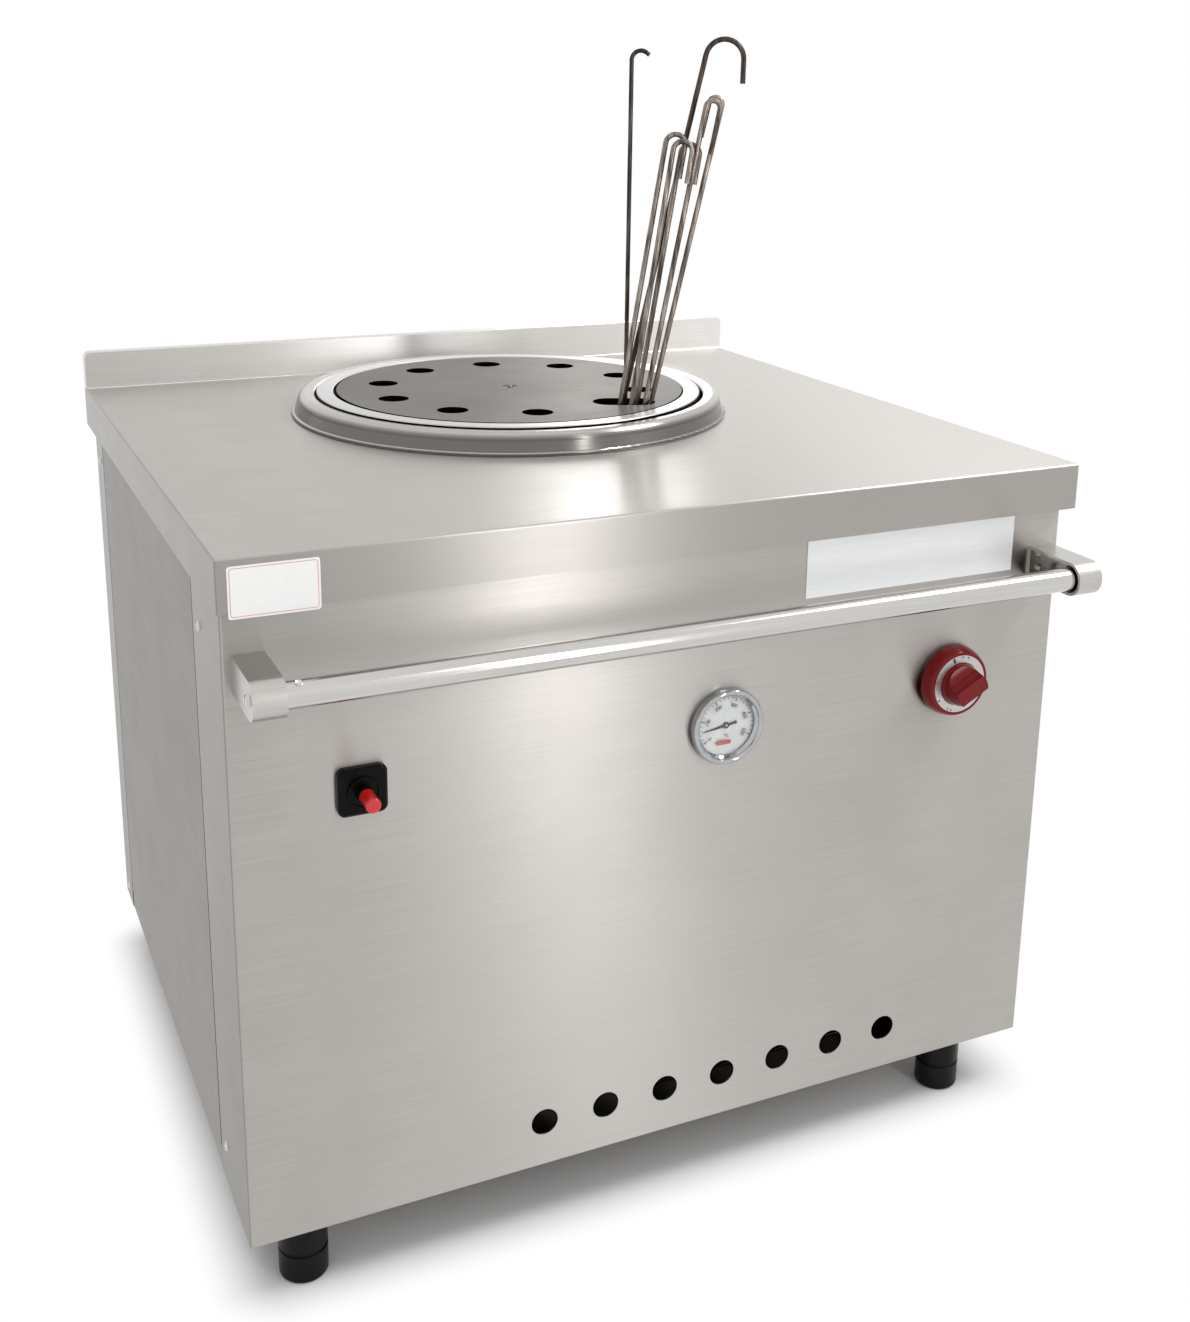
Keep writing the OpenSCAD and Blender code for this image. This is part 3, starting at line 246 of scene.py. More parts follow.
def cover(material, *names):
    """Gives CAD nodes or pieces a finish."""
    for name in names:
        data = bpy.data.objects[name].data
        data.materials.clear()
        data.materials.append(material)


def deselect():
    """Leaves edit mode and selects nothing."""
    if bpy.context.mode != "OBJECT":
        bpy.ops.object.mode_set(mode="OBJECT")
    bpy.ops.object.select_all(action="DESELECT")


def choose(piece, test, kind="FACE"):
    """Selects in edit mode the faces or edges of the piece that pass the test."""
    bpy.ops.mesh.select_mode(type=kind)
    bpy.ops.mesh.select_all(action="DESELECT")
    bpy.ops.object.mode_set(mode="OBJECT")
    for part in (piece.data.polygons if kind == "FACE" else piece.data.edges):
        part.select = test(part)
    bpy.ops.object.mode_set(mode="EDIT")


def settle(piece, name, body, material):
    """Puts the piece's place into its mesh, names it, and lets it ride on a body."""
    deselect()
    piece.select_set(True)
    bpy.context.view_layer.objects.active = piece
    bpy.ops.object.transform_apply(location=True, rotation=True, scale=True)
    piece.name = name
    piece.data.name = name
    cover(material, name)
    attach(piece, body)
    return piece


def joined(parts, name, body, material):
    """Makes one piece of several, and settles it."""
    deselect()
    for part in parts:
        part.select_set(True)
    bpy.context.view_layer.objects.active = parts[0]
    bpy.ops.object.join()
    return settle(bpy.context.object, name, body, material)


def edge_along_y(piece):
    """A test for edges that run from front to back."""
    def test(edge):
        a, b = (piece.data.vertices[i].co for i in edge.vertices)
        run = b - a
        return abs(run.y) > 0.99 * run.length
    return test


def body_of_node(name):
    """The body that a CAD node rides on."""
    return bpy.data.objects[name]["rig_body"]


# ---------------------------------------------------------------- finishes

def facing(tree, axis):
    """How squarely the surface faces along the axis, either way, from 0 to 1."""
    normal = add_node(tree, "ShaderNodeNewGeometry").outputs["Normal"]
    split = add_node(tree, "ShaderNodeSeparateXYZ", {0: normal})
    size = add_node(tree, "ShaderNodeMath", {0: split.outputs[axis]}, operation="ABSOLUTE")
    return size.outputs[0]


def mix_colour(tree, factor, first, second):
    """Mixes two colours, given as hex or as a socket, by a factor from 0 to 1."""
    mix = add_node(tree, "ShaderNodeMix", data_type="RGBA")
    tree.links.new(factor, mix.inputs[0])
    for slot, value in ((6, first), (7, second)):
        if isinstance(value, str):
            mix.inputs[slot].default_value = linear(value)
        else:
            tree.links.new(value, mix.inputs[slot])
    return mix.outputs[2]


def wall_shade(tree, tone, colour, wall):
    """Painted shade on the sheet's walls: a darker colour on walls given as UPRIGHT or FLANK."""
    axis, start, full = wall
    share = add_node(tree, "ShaderNodeMapRange",
                     {"Value": facing(tree, axis), "From Min": start, "From Max": full})
    return mix_colour(tree, share.outputs[0], tone, colour)


def grain_direction(tree, direction):
    """The direction of the brushing: along `direction`, but along Y on faces that look along X
    when the sheet's grain runs along X, because it is folded there."""
    if direction != "X":
        return add_node(tree, "ShaderNodeCombineXYZ", {direction: 1.0}).outputs[0]
    folded = add_node(tree, "ShaderNodeMath", {0: facing(tree, "X"), 1: FOLDED},
                      operation="GREATER_THAN")
    straight = add_node(tree, "ShaderNodeMath", {0: 1.0, 1: folded.outputs[0]},
                        operation="SUBTRACT")
    return add_node(tree, "ShaderNodeCombineXYZ",
                    {"X": straight.outputs[0], "Y": folded.outputs[0]}).outputs[0]


def scratch(tree, shader, lines, pattern, along, colour, shade, roughness):
    """Roughness, relief and stretched highlights of a scratched sheet, whose scratches run
    `along`. The sheet's colour is returned, so that walls can be given another one."""
    band = {"Value": pattern, "From Min": NOISE_LOW, "From Max": NOISE_HIGH}
    ramp = add_node(tree, "ShaderNodeMapRange", band)
    rough = add_node(tree, "ShaderNodeMapRange",
                     {**band, "To Min": roughness * (1 + ROUGH_SPREAD),
                      "To Max": roughness * (1 - ROUGH_SPREAD)})
    tree.links.new(rough.outputs[0], shader.inputs["Roughness"])
    bump = add_node(tree, "ShaderNodeBump",
                    {"Height": lines, "Strength": SCRATCH_BUMP, "Distance": SCRATCH_DEPTH})
    tree.links.new(bump.outputs[0], shader.inputs["Normal"])
    normal = add_node(tree, "ShaderNodeNewGeometry").outputs["Normal"]
    across = add_node(tree, "ShaderNodeVectorMath", {0: normal, 1: along},
                      operation="CROSS_PRODUCT")
    tree.links.new(across.outputs[0], shader.inputs["Tangent"])
    return mix_colour(tree, ramp.outputs[0], shade, colour)


def brushed_steel(name, colour, shade, roughness=0.34, direction="X", anisotropy=0.92,
                  line_mm=1.4, length_mm=120.0, upright_shade=None, flank_shade=None, rim=None):
    """Sheet of austenitic stainless steel, ground with a belt: fine parallel scratches that
    stretch each highlight across them. The scratches are drawn coarser than the real 0.1 mm,
    so that they show. The colours given for walls that stand upright and for walls that face
    left or right are painted shade, and `rim` dims what the sheet mirrors at a flat angle."""
    material, tree, shader = new_material(name, Metallic=1.0, Anisotropic=anisotropy)
    if rim:
        shader.inputs["Specular Tint"].default_value = linear(rim)
    place = add_node(tree, "ShaderNodeTexCoord").outputs["Object"]
    grain = grain_direction(tree, direction)
    # The noise is squeezed across the grain and drawn out along it
    along = add_node(tree, "ShaderNodeVectorMath", {0: place, 1: grain}, operation="DOT_PRODUCT")
    pull = add_node(tree, "ShaderNodeMath",
                    {0: along.outputs["Value"], 1: per_metre(length_mm) - per_metre(line_mm)},
                    operation="MULTIPLY")
    shift = add_node(tree, "ShaderNodeVectorMath", {0: grain, "Scale": pull.outputs[0]},
                     operation="SCALE")
    fine = add_node(tree, "ShaderNodeVectorMath", {0: place, "Scale": per_metre(line_mm)},
                    operation="SCALE")
    spot = add_node(tree, "ShaderNodeVectorMath", {0: fine.outputs[0], 1: shift.outputs[0]},
                    operation="ADD")
    lines = add_node(tree, "ShaderNodeTexNoise",
                     {"Vector": spot.outputs[0], "Scale": 1.0, "Detail": 2.0, "Roughness": 0.6})
    smears = add_node(tree, "ShaderNodeTexNoise",
                      {"Vector": place, "Scale": per_metre(SMEAR_MM), "Detail": 3.0,
                       "Roughness": 0.5})
    scratches = add_node(tree, "ShaderNodeMath", {0: lines.outputs["Fac"], 1: SCRATCH_SHARE},
                         operation="MULTIPLY")
    pattern = add_node(tree, "ShaderNodeMath",
                       {0: smears.outputs["Fac"], 1: SMEAR_SHARE, 2: scratches.outputs[0]},
                       operation="MULTIPLY_ADD")
    tone = scratch(tree, shader, lines.outputs["Fac"], pattern.outputs[0], grain, colour, shade,
                   roughness)
    # Painted shade: darker colours on the walls, chosen by the way they face
    if upright_shade:
        tone = wall_shade(tree, tone, upright_shade, UPRIGHT)
    if flank_shade:
        tone = wall_shade(tree, tone, flank_shade, FLANK)
    tree.links.new(tone, shader.inputs["Base Color"])
    return material


def spun_steel(name, colour, shade, centre, roughness, anisotropy=0.6, upright_shade=None):
    """Stainless steel turned on a spinning lathe: scratches that run round the middle. They
    are drawn coarser than the real ones, so that they show. The colour given for walls that
    stand upright is painted shade."""
    material, tree, shader = new_material(name, Metallic=1.0, Anisotropic=anisotropy)
    place = add_node(tree, "ShaderNodeTexCoord").outputs["Object"]
    from_middle = add_node(tree, "ShaderNodeVectorMath",
                           {0: place, 1: (centre.x, centre.y, 0.0)}, operation="SUBTRACT")
    split = add_node(tree, "ShaderNodeSeparateXYZ", {0: from_middle.outputs[0]})
    flat = add_node(tree, "ShaderNodeCombineXYZ",
                    {"X": split.outputs["X"], "Y": split.outputs["Y"]})
    radius = add_node(tree, "ShaderNodeVectorMath", {0: flat.outputs[0]}, operation="LENGTH")
    turn = add_node(tree, "ShaderNodeMath", {0: split.outputs["Y"], 1: split.outputs["X"]},
                    operation="ARCTAN2")
    radius_lines = add_node(tree, "ShaderNodeMath",
                            {0: radius.outputs["Value"], 1: per_metre(LATHE_LINE_MM)},
                            operation="MULTIPLY")
    height_lines = add_node(tree, "ShaderNodeMath",
                            {0: split.outputs["Z"], 1: per_metre(LATHE_LINE_MM)},
                            operation="MULTIPLY")
    spot = add_node(tree, "ShaderNodeCombineXYZ",
                    {"X": radius_lines.outputs[0], "Y": height_lines.outputs[0],
                     "Z": turn.outputs[0]})
    lines = add_node(tree, "ShaderNodeTexNoise",
                     {"Vector": spot.outputs[0], "Scale": 1.0, "Detail": 2.0, "Roughness": 0.6})
    up = add_node(tree, "ShaderNodeCombineXYZ", {"Z": 1.0})
    round_way = add_node(tree, "ShaderNodeVectorMath", {0: up.outputs[0], 1: flat.outputs[0]},
                         operation="CROSS_PRODUCT")
    tone = scratch(tree, shader, lines.outputs["Fac"], lines.outputs["Fac"],
                   round_way.outputs[0], colour, shade, roughness)
    # Painted shade: a darker colour on the walls that stand upright
    if upright_shade:
        tone = wall_shade(tree, tone, upright_shade, UPRIGHT)
    tree.links.new(tone, shader.inputs["Base Color"])
    return material


def grained(name, colour, shade, size_mm, stretch=(1, 1, 1), roughness=0.5, spread=0.15,
            bump_mm=0.05, bump=0.3, detail=4.0, kind="noise", contrast=0.2, **sockets):
    """A finish of two tones in a pattern of a real size, with its roughness and bump from it."""
    material, tree, shader = new_material(name, **sockets)
    place = add_node(tree, "ShaderNodeTexCoord").outputs["Object"]
    spot = add_node(tree, "ShaderNodeMapping",
                    {"Vector": place, "Scale": [per_metre(size_mm) / s for s in stretch]})
    if kind == "cells":
        cells = add_node(tree, "ShaderNodeTexVoronoi", {"Vector": spot.outputs[0], "Scale": 1.0})
        value = add_node(tree, "ShaderNodeSeparateColor", {0: cells.outputs["Color"]}).outputs[0]
    else:
        value = add_node(tree, "ShaderNodeTexNoise",
                         {"Vector": spot.outputs[0], "Scale": 1.0, "Detail": detail,
                          "Roughness": 0.55}).outputs["Fac"]
    band = {"Value": value, "From Min": 0.5 - contrast, "From Max": 0.5 + contrast}
    ramp = add_node(tree, "ShaderNodeMapRange", band)
    tree.links.new(mix_colour(tree, ramp.outputs[0], shade, colour), shader.inputs["Base Color"])
    rough = add_node(tree, "ShaderNodeMapRange",
                     {**band, "To Min": roughness * (1 + spread),
                      "To Max": roughness * (1 - spread)})
    tree.links.new(rough.outputs[0], shader.inputs["Roughness"])
    relief = add_node(tree, "ShaderNodeBump",
                      {"Height": value, "Strength": bump, "Distance": bump_mm * MM})
    tree.links.new(relief.outputs[0], shader.inputs["Normal"])
    return material


# ---------------------------------------------------------------- sizes and colours

class TandoorColours(bpy.types.PropertyGroup):
    """Colours of the finishes, as sRGB hex."""
    steel: bpy.props.StringProperty(
        name="Brushed steel", description="Bright tone of the brushed sheet", default="#B9B5B1")
    steel_shade: bpy.props.StringProperty(
        name="Brushed steel, dark lines", description="Dark tone of the brushed sheet",
        default="#AEAAA5")
    lid: bpy.props.StringProperty(
        name="Lid", description="Bright tone of the lid's plate", default="#AEABA8")
    ring: bpy.props.StringProperty(
        name="Mouth ring", description="Bright tone of the mouth ring", default="#D6D5D4")
    # Soot on the pot; on the walls of the lid and mouth ring this colour is painted shade
    soot_and_shade: bpy.props.StringProperty(
        name="Soot", description="Soot in the pot and on the walls of the lid and mouth ring",
        default="#0E0D0C")
    knob: bpy.props.StringProperty(
        name="Knob", description="Red of the gas knob", default="#74080D")
    button: bpy.props.StringProperty(
        name="Button", description="Red of the igniter's button", default="#D7201F")
    black: bpy.props.StringProperty(
        name="Black plastic", description="Black of the igniter's plate and body",
        default="#0B0A0A")
    clay: bpy.props.StringProperty(
        name="Clay", description="Fired clay of the pot", default="#A9714E")
    rod: bpy.props.StringProperty(
        name="Rods", description="Light tone of the heat-tinted skewers", default="#A69C94")


class TandoorSizes(bpy.types.PropertyGroup):
    """Sizes of the plate and the sticker, in metres."""
    plate_width: bpy.props.FloatProperty(
        name="Plate width", description="Width of the bare name plate", default=0.2535,
        unit="LENGTH")
    plate_height: bpy.props.FloatProperty(
        name="Plate height", description="Height of the bare name plate", default=0.0635,
        unit="LENGTH")
    plate_left: bpy.props.FloatProperty(
        name="Plate's left end", description="Sideways place of the plate's left end",
        default=0.131, unit="LENGTH")
    plate_top: bpy.props.FloatProperty(
        name="Plate's top", description="Height of the plate's upper edge", default=0.697,
        unit="LENGTH")
    sticker_width: bpy.props.FloatProperty(
        name="Sticker width", description="Width of the sticker on the worktop's edge",
        default=0.0785, unit="LENGTH")
    sticker_height: bpy.props.FloatProperty(
        name="Sticker height", description="Height of the sticker", default=0.046,
        unit="LENGTH")
    sticker_left: bpy.props.FloatProperty(
        name="Sticker's left end", description="Sideways place of the sticker's left end",
        default=-0.4405, unit="LENGTH")
    sticker_top: bpy.props.FloatProperty(
        name="Sticker's top", description="Height of the sticker's upper edge", default=0.740,
        unit="LENGTH")


def colours():
    """The colours that are set in the scene."""
    return bpy.context.scene.tandoor_colours


def sizes():
    """The sizes that are set in the scene."""
    return bpy.context.scene.tandoor_sizes


# ---------------------------------------------------------------- finishes of the CAD parts

class TANDOOR_OT_steel(bpy.types.Operator):
    """Brushed, spun and polished steel of the cabinet, the worktop, the lid, the rail and rods"""
    bl_idname = "tandoor.steel"
    bl_label = "Steel finishes"

    def execute(self, context):
        c = colours()
        # Brushed from side to side: a soft grey sheen, which stretches highlights upwards; faces
        # that look left or right get painted shade
        cover(brushed_steel("belt-ground stainless steel", c.steel, c.steel_shade,
                            flank_shade="#8A8783"), "front_panel", "rear_panel", "base_pan")
        # The same sheet, painted paler on top as painted light, with painted shade on its
        # turned-down edges
        cover(brushed_steel("belt-ground stainless worktop", "#C4C0BC", "#B8B4AF",
                            upright_shade="#A4A09C", flank_shade="#8A8784"), "worktop")
        # The same sheet again, painted at its palest: a painted highlight
        cover(brushed_steel("belt-ground stainless upstand", "#E0DEDB", "#D4D1CE"),
              "upstand_main", "upstand_end")
        # Brushed from front to back and rougher, so it looks duller and darker; its colour is also
        # painted darker, as painted shade
        cover(brushed_steel("belt-ground stainless steel, painted shade", "#A9A5A1", "#9F9B97",
                            direction="Y", roughness=0.4, rim="#DDDDDD"),
              "side_panel_left", "side_panel_right")
        # Spun on a lathe: highlights fan out from the middle; the upright wall is painted darker,
        # as painted shade
        cover(spun_steel("spun stainless steel", "#BFBBB7", "#B5B2AE", MOUTH, roughness=0.26,
                         anisotropy=0.8, upright_shade="#706E6B"), "collar")
        # Satin turned ring, pale on top, with its walls painted black as painted shade
        cover(spun_steel("satin stainless ring", c.ring, "#C9C8C7", MOUTH, roughness=0.4,
                         upright_shade=c.soot_and_shade), "mouth_ring")
        # Ground plate, dulled by heat, with its edges and holes painted black as painted shade
        cover(brushed_steel("ground stainless lid", c.lid, "#8E8B88", roughness=0.36,
                            line_mm=1.0, upright_shade=c.soot_and_shade, rim="#8A8A8A"), "lid_disc")
        # Drawn and polished tube: long faint draw lines, mirror-like across
        cover(grained("polished stainless tube", "#D0CECC", "#C4C1BE", 0.9, stretch=(90, 1, 1),
                      roughness=0.13, bump=0.1, bump_mm=0.01, Metallic=1.0), "rail_tube")
        # Satin strap: short fine scratches and a broad soft shine
        cover(brushed_steel("satin stainless strap", "#CBC8C4", "#BCB9B5", roughness=0.3,
                            anisotropy=0.5, line_mm=0.9, length_mm=40.0),
              "rail_bracket_left", "rail_bracket_right")
        # Turned and cold-headed steel: bright, with small dents
        cover(grained("bright stainless screw", "#D9D7D4", "#B9B6B2", 0.8, roughness=0.22,
                      bump=0.1, Metallic=1.0), "panel_screws", "rail_screws", "valve_stem")
        # Round bar that has hung over the fire: straw and brown oxide in streaks along it
        streaks = dict(stretch=(1, 1, 9), spread=0.3, bump=0.15, bump_mm=0.04, contrast=0.16,
                       Metallic=1.0)
        cover(grained("heat-tinted steel rod", c.rod, "#4B413B", 5.0, roughness=0.3, **streaks),
              *[f"skewer_{i}" for i in range(1, 6)])
        # The same bar, tinted almost black
        cover(grained("dark heat-tinted steel rod", "#5F5650", "#2E2926", 5.0, roughness=0.36,
                      **streaks), "hook_rod_thin", "hook_rod_large")
        return {"FINISHED"}


class TANDOOR_OT_inside(bpy.types.Operator):
    """Clay, wool, cast iron, brass and copper inside the cabinet"""
    bl_idname = "tandoor.inside"
    bl_label = "Finishes inside"

    def execute(self, context):
        c = colours()
        # Hot-dip galvanised steel: zinc crystals a centimetre across
        cover(grained("galvanised steel", "#AEB2B4", "#989DA0", 9.0, roughness=0.42,
                      kind="cells", contrast=0.5, bump=0.05, Metallic=1.0),
              "frame_posts", "top_frame", "base_frame", "pot_drum", "inlet_pipe")
        # Hand-built fired clay: grit and smoke marks, quite matt
        clay = grained("fired clay", c.clay, "#7B4C34", 14.0, roughness=0.9, spread=0.05,
                       bump=0.6, bump_mm=0.6, detail=8.0)
        self.soot_and_shade(clay.node_tree, c.soot_and_shade)
        cover(clay, "clay_pot")
        # Needled fibre: tufts that lie flat, with no shine
        cover(grained("ceramic fibre blanket", "#E9E4D8", "#CFC8B8", 5.0, stretch=(3, 3, 1),
                      roughness=1.0, spread=0.0, bump=0.8, bump_mm=1.0, detail=8.0),
              "pot_insulation")
        # Sand-cast iron: dark, with the sand's grain in it
        cover(grained("cast iron", "#4A4745", "#2E2C2B", 2.0, roughness=0.62, bump=0.5,
                      bump_mm=0.15, Metallic=1.0), "burner", "pot_stand")
        # Pressed stainless sheet over the flame: straw and violet clouds of oxide
        cover(grained("heat-tinted stainless steel", "#A08E79", "#5D5361", 30.0,
                      roughness=0.35, bump=0.1, Metallic=1.0), "flame_deflector", "pilot_burner")
        # Turned brass: yellow, with fine rings of tool marks
        cover(grained("turned brass", "#C9A45C", "#B28C48", 1.5, stretch=(1, 8, 8),
                      roughness=0.28, bump=0.1, Metallic=1.0), "injector", "gas_inlet")
        # Drawn copper that the heat has browned: smooth and dark, with clouds
        cover(grained("heat-darkened copper tube", "#7A4E38", "#54372A", 6.0, roughness=0.3,
                      bump=0.1, Metallic=1.0), "burner_pipe", "pilot_pipe", "thermocouple")
        # Die-cast body, tumbled: a dull pale grey with a fine grain
        cover(grained("die-cast aluminium", "#B4B4B2", "#A0A09E", 1.2, roughness=0.46,
                      bump=0.3, bump_mm=0.05, Metallic=1.0), "gas_valve")
        # Glazed insulator: white with a clear, glassy coat
        cover(grained("glazed ceramic", "#F1EEE7", "#E6E2D9", 8.0, roughness=0.22,
                      bump=0.05, Coat_Weight=0.4), "spark_electrode")
        # Extruded silicone cover: black, soft and hardly shiny
        cover(grained("silicone-covered lead", "#2B2A2A", "#222121", 3.0, roughness=0.55,
                      bump=0.1), "ignition_lead")
        return {"FINISHED"}

    def soot_and_shade(self, tree, colour):
        """Soot on the pot, thick at its mouth and thin at the height of the fire, and painted
        shade that darkens it towards its base.
        """
        shader = tree.nodes["Principled BSDF"]
        bare = shader.inputs["Base Color"].links[0].from_socket
        place = add_node(tree, "ShaderNodeTexCoord").outputs["Object"]
        height = add_node(tree, "ShaderNodeSeparateXYZ", {0: place}).outputs["Z"]
        cloud = add_node(tree, "ShaderNodeTexNoise",
                         {"Vector": place, "Scale": per_metre(SOOT_CLOUD_MM)})
        lifted = add_node(tree, "ShaderNodeMath",
                          {0: cloud.outputs["Fac"], 1: SOOT_LIFT, 2: height},
                          operation="MULTIPLY_ADD")
        at_mouth = add_node(tree, "ShaderNodeMapRange",
                            {"Value": lifted.outputs[0], "From Min": SOOT_MOUTH[0],
                             "From Max": SOOT_MOUTH[1]})
        # Painted shade: the pot darkens towards its base, so the inside looks dark through the
        # vent holes
        shade_at_base = add_node(tree, "ShaderNodeMapRange",
                           {"Value": height, "From Min": PAINTED_SHADE_BASE[0], "From Max": PAINTED_SHADE_BASE[1]})
        thick = add_node(tree, "ShaderNodeMath",
                         {0: at_mouth.outputs[0], 1: shade_at_base.outputs[0]}, operation="MAXIMUM")
        tree.links.new(mix_colour(tree, thick.outputs[0], bare, colour),
                       shader.inputs["Base Color"])


class TANDOOR_OT_controls(bpy.types.Operator):
    """Plastics, chrome, enamel and glass of the knob, the igniter, the thermometer and feet"""
    bl_idname = "tandoor.controls"
    bl_label = "Control finishes"

    def execute(self, context):
        c = colours()
        # Compression-moulded phenolic resin, glossy with a slight orange peel
        cover(grained("red phenolic resin", c.knob, "#6A070B", 30.0, roughness=0.17, spread=0.1,
                      bump=0.02, bump_mm=0.01, Specular_IOR_Level=0.25), "knob")
        # Satin aluminium disc, with fine lines from side to side
        cover(grained("satin aluminium", "#C9C8C6", "#B5B4B2", 0.8, stretch=(12, 1, 1),
                      roughness=0.34, bump=0.1, bump_mm=0.01, Metallic=1.0), "knob_ring")
        # Injection-moulded ABS: black, with a low even shine
        cover(grained("black ABS", c.black, "#060606", 3.0, roughness=0.32,
                      spread=0.25, bump=0.05, bump_mm=0.02, Specular_IOR_Level=0.1),
              "igniter_plate", "igniter_body")
        # The button is polished harder, so it has a bright gloss
        cover(grained("glossy red ABS", c.button, "#C51A1A", 3.0, roughness=0.2, bump=0.05,
                      bump_mm=0.02, Coat_Weight=0.3, Coat_Roughness=0.05), "igniter_button")
        # Moulded nylon: black, slightly uneven
        cover(grained("black nylon", "#070707", "#0B0B0A", 6.0, roughness=0.3, spread=0.25,
                      bump=0.15, bump_mm=0.04, Specular_IOR_Level=0.15),
              "foot_sleeves", "foot_front_left", "foot_front_right", "foot_rear_left",
              "foot_rear_right", "rail_bushes")
        # Plated and polished: close to a mirror
        cover(grained("chromed brass", "#B7B8B9", "#ABACAD", 12.0, roughness=0.07, spread=0.3,
                      bump=0.03, bump_mm=0.01, Metallic=1.0), "thermometer_case")
        # Drawn probe tube: bright and smooth
        cover(grained("bright stainless steel", "#D5D3D0", "#C3C0BC", 1.0, roughness=0.2,
                      bump=0.05, Metallic=1.0), "thermometer_stem")
        # Baked enamel: an even, half-matt white
        cover(grained("white dial enamel", "#DEDEDC", "#D8D8D6", 10.0, roughness=0.4,
                      bump=0.03), "thermometer_dial")
        # Sprayed lacquer: black with a soft gloss
        cover(grained("black needle lacquer", "#101010", "#1B1A1A", 2.0, roughness=0.3,
                      bump=0.03), "thermometer_needle")
        self.glass()
        return {"FINISHED"}

    def glass(self):
        """Flat mineral glass, clear apart from a trace of dust."""
        glass, tree, shader = new_material(
            "clear mineral glass", Roughness=0.02, IOR=1.5, Transmission_Weight=1.0,
            Base_Color=linear("#F6F8F8"))
        place = add_node(tree, "ShaderNodeTexCoord").outputs["Object"]
        dust = add_node(tree, "ShaderNodeTexNoise", {"Vector": place, "Scale": per_metre(DUST_MM)})
        haze = add_node(tree, "ShaderNodeMapRange",
                        {"Value": dust.outputs["Fac"], "From Min": DUST_NOISE[0],
                         "From Max": DUST_NOISE[1], "To Min": DUST_ROUGH[0],
                         "To Max": DUST_ROUGH[1]})
        tree.links.new(haze.outputs[0], shader.inputs["Roughness"])
        # Light reaches the dial through the glass
        path = add_node(tree, "ShaderNodeLightPath")
        clear = add_node(tree, "ShaderNodeBsdfTransparent")
        mix = add_node(tree, "ShaderNodeMixShader",
                       {0: path.outputs["Is Shadow Ray"], 1: shader.outputs[0],
                        2: clear.outputs[0]})
        tree.links.new(mix.outputs[0], tree.nodes["Material Output"].inputs["Surface"])
        cover(glass, "thermometer_glass")


# ---------------------------------------------------------------- pieces made here

def thin_plate(name, left, top, width, height, back, thick, corner, material, body="cabinet"):
    """A plate on a wall that looks to the front, with round corners and a flat margin."""
    deselect()
    bpy.ops.mesh.primitive_cube_add(
        size=1, location=(left + width / 2, back - thick / 2, top - height / 2))
    piece = bpy.context.object
    bpy.ops.object.mode_set(mode="EDIT")
    bpy.ops.transform.resize(value=(width, thick, height))
    choose(piece, edge_along_y(piece), "EDGE")
    bpy.ops.mesh.bevel(offset=corner, segments=6, affect="EDGES")
    choose(piece, lambda face: face.normal.y < -0.9)
    bpy.ops.mesh.inset(thickness=MARGIN)
    bpy.ops.object.mode_set(mode="OBJECT")
    return settle(piece, name, body, material)


class TANDOOR_OT_plates(bpy.types.Operator):
    """The bare name plate on the cabinet and the bare sticker on the worktop's edge"""
    bl_idname = "tandoor.plates"
    bl_label = "Plate and sticker"

    def execute(self, context):
        s = sizes()
        # Anodised aluminium sheet: nearly white, with faint rolling lines
        film = grained("pale aluminium plate", "#F2F4F4", "#EAECEC", 1.0, stretch=(60, 1, 1),
                       roughness=0.38, bump=0.05, bump_mm=0.01, Metallic=0.2)
        thin_plate("name_plate", s.plate_left, s.plate_top, s.plate_width, s.plate_height,
                   PANEL_FRONT, PLATE_THICK, PLATE_CORNER, film)
        # Coated vinyl: white and smooth under a clear film
        paper = grained("white vinyl sticker", "#F3F3F2", "#F0F0EF", 8.0, roughness=0.32,
                        bump=0.03, bump_mm=0.01, Coat_Weight=0.3)
        thin_plate("edge_sticker", s.sticker_left, s.sticker_top, s.sticker_width,
                   s.sticker_height, EDGE_FRONT, STICKER_THICK, STICKER_CORNER, paper)
        self.border(s)
        return {"FINISHED"}

    def border(self, s):
        """A thin printed frame near the sticker's edge, as a ring of its own."""
        # Screen-printed ink: an even pale red
        red = grained("red sticker ink", "#D96A68", "#CE5B59", 2.0, roughness=0.35, bump=0.02)
        ring = thin_plate("sticker_border", s.sticker_left + FRAME_IN, s.sticker_top - FRAME_IN,
                          s.sticker_width - 2 * FRAME_IN, s.sticker_height - 2 * FRAME_IN,
                          EDGE_FRONT - STICKER_THICK, FRAME_THICK, STICKER_CORNER, red)
        deselect()
        bpy.context.view_layer.objects.active = ring
        ring.select_set(True)
        bpy.ops.object.mode_set(mode="EDIT")
        # The plate's face is cut out inside its margin, front and back, and the cuts are joined
        biggest = max(p.area for p in ring.data.polygons if p.normal.y < -0.9)
        choose(ring, lambda face: face.normal.y < -0.9 and face.area > biggest * 0.99)
        bpy.ops.mesh.delete(type="FACE")
        choose(ring, lambda face: face.normal.y > 0.9)
        bpy.ops.mesh.inset(thickness=MARGIN)
        choose(ring, lambda face: face.normal.y > 0.9 and face.area > biggest * 0.9)
        bpy.ops.mesh.delete(type="FACE")
        choose(ring, lambda edge: False, "EDGE")
        bpy.ops.mesh.select_non_manifold(extend=False)
        bpy.ops.mesh.bridge_edge_loops()
        bpy.ops.mesh.select_all(action="SELECT")
        bpy.ops.mesh.normals_make_consistent(inside=False)
        bpy.ops.object.mode_set(mode="OBJECT")


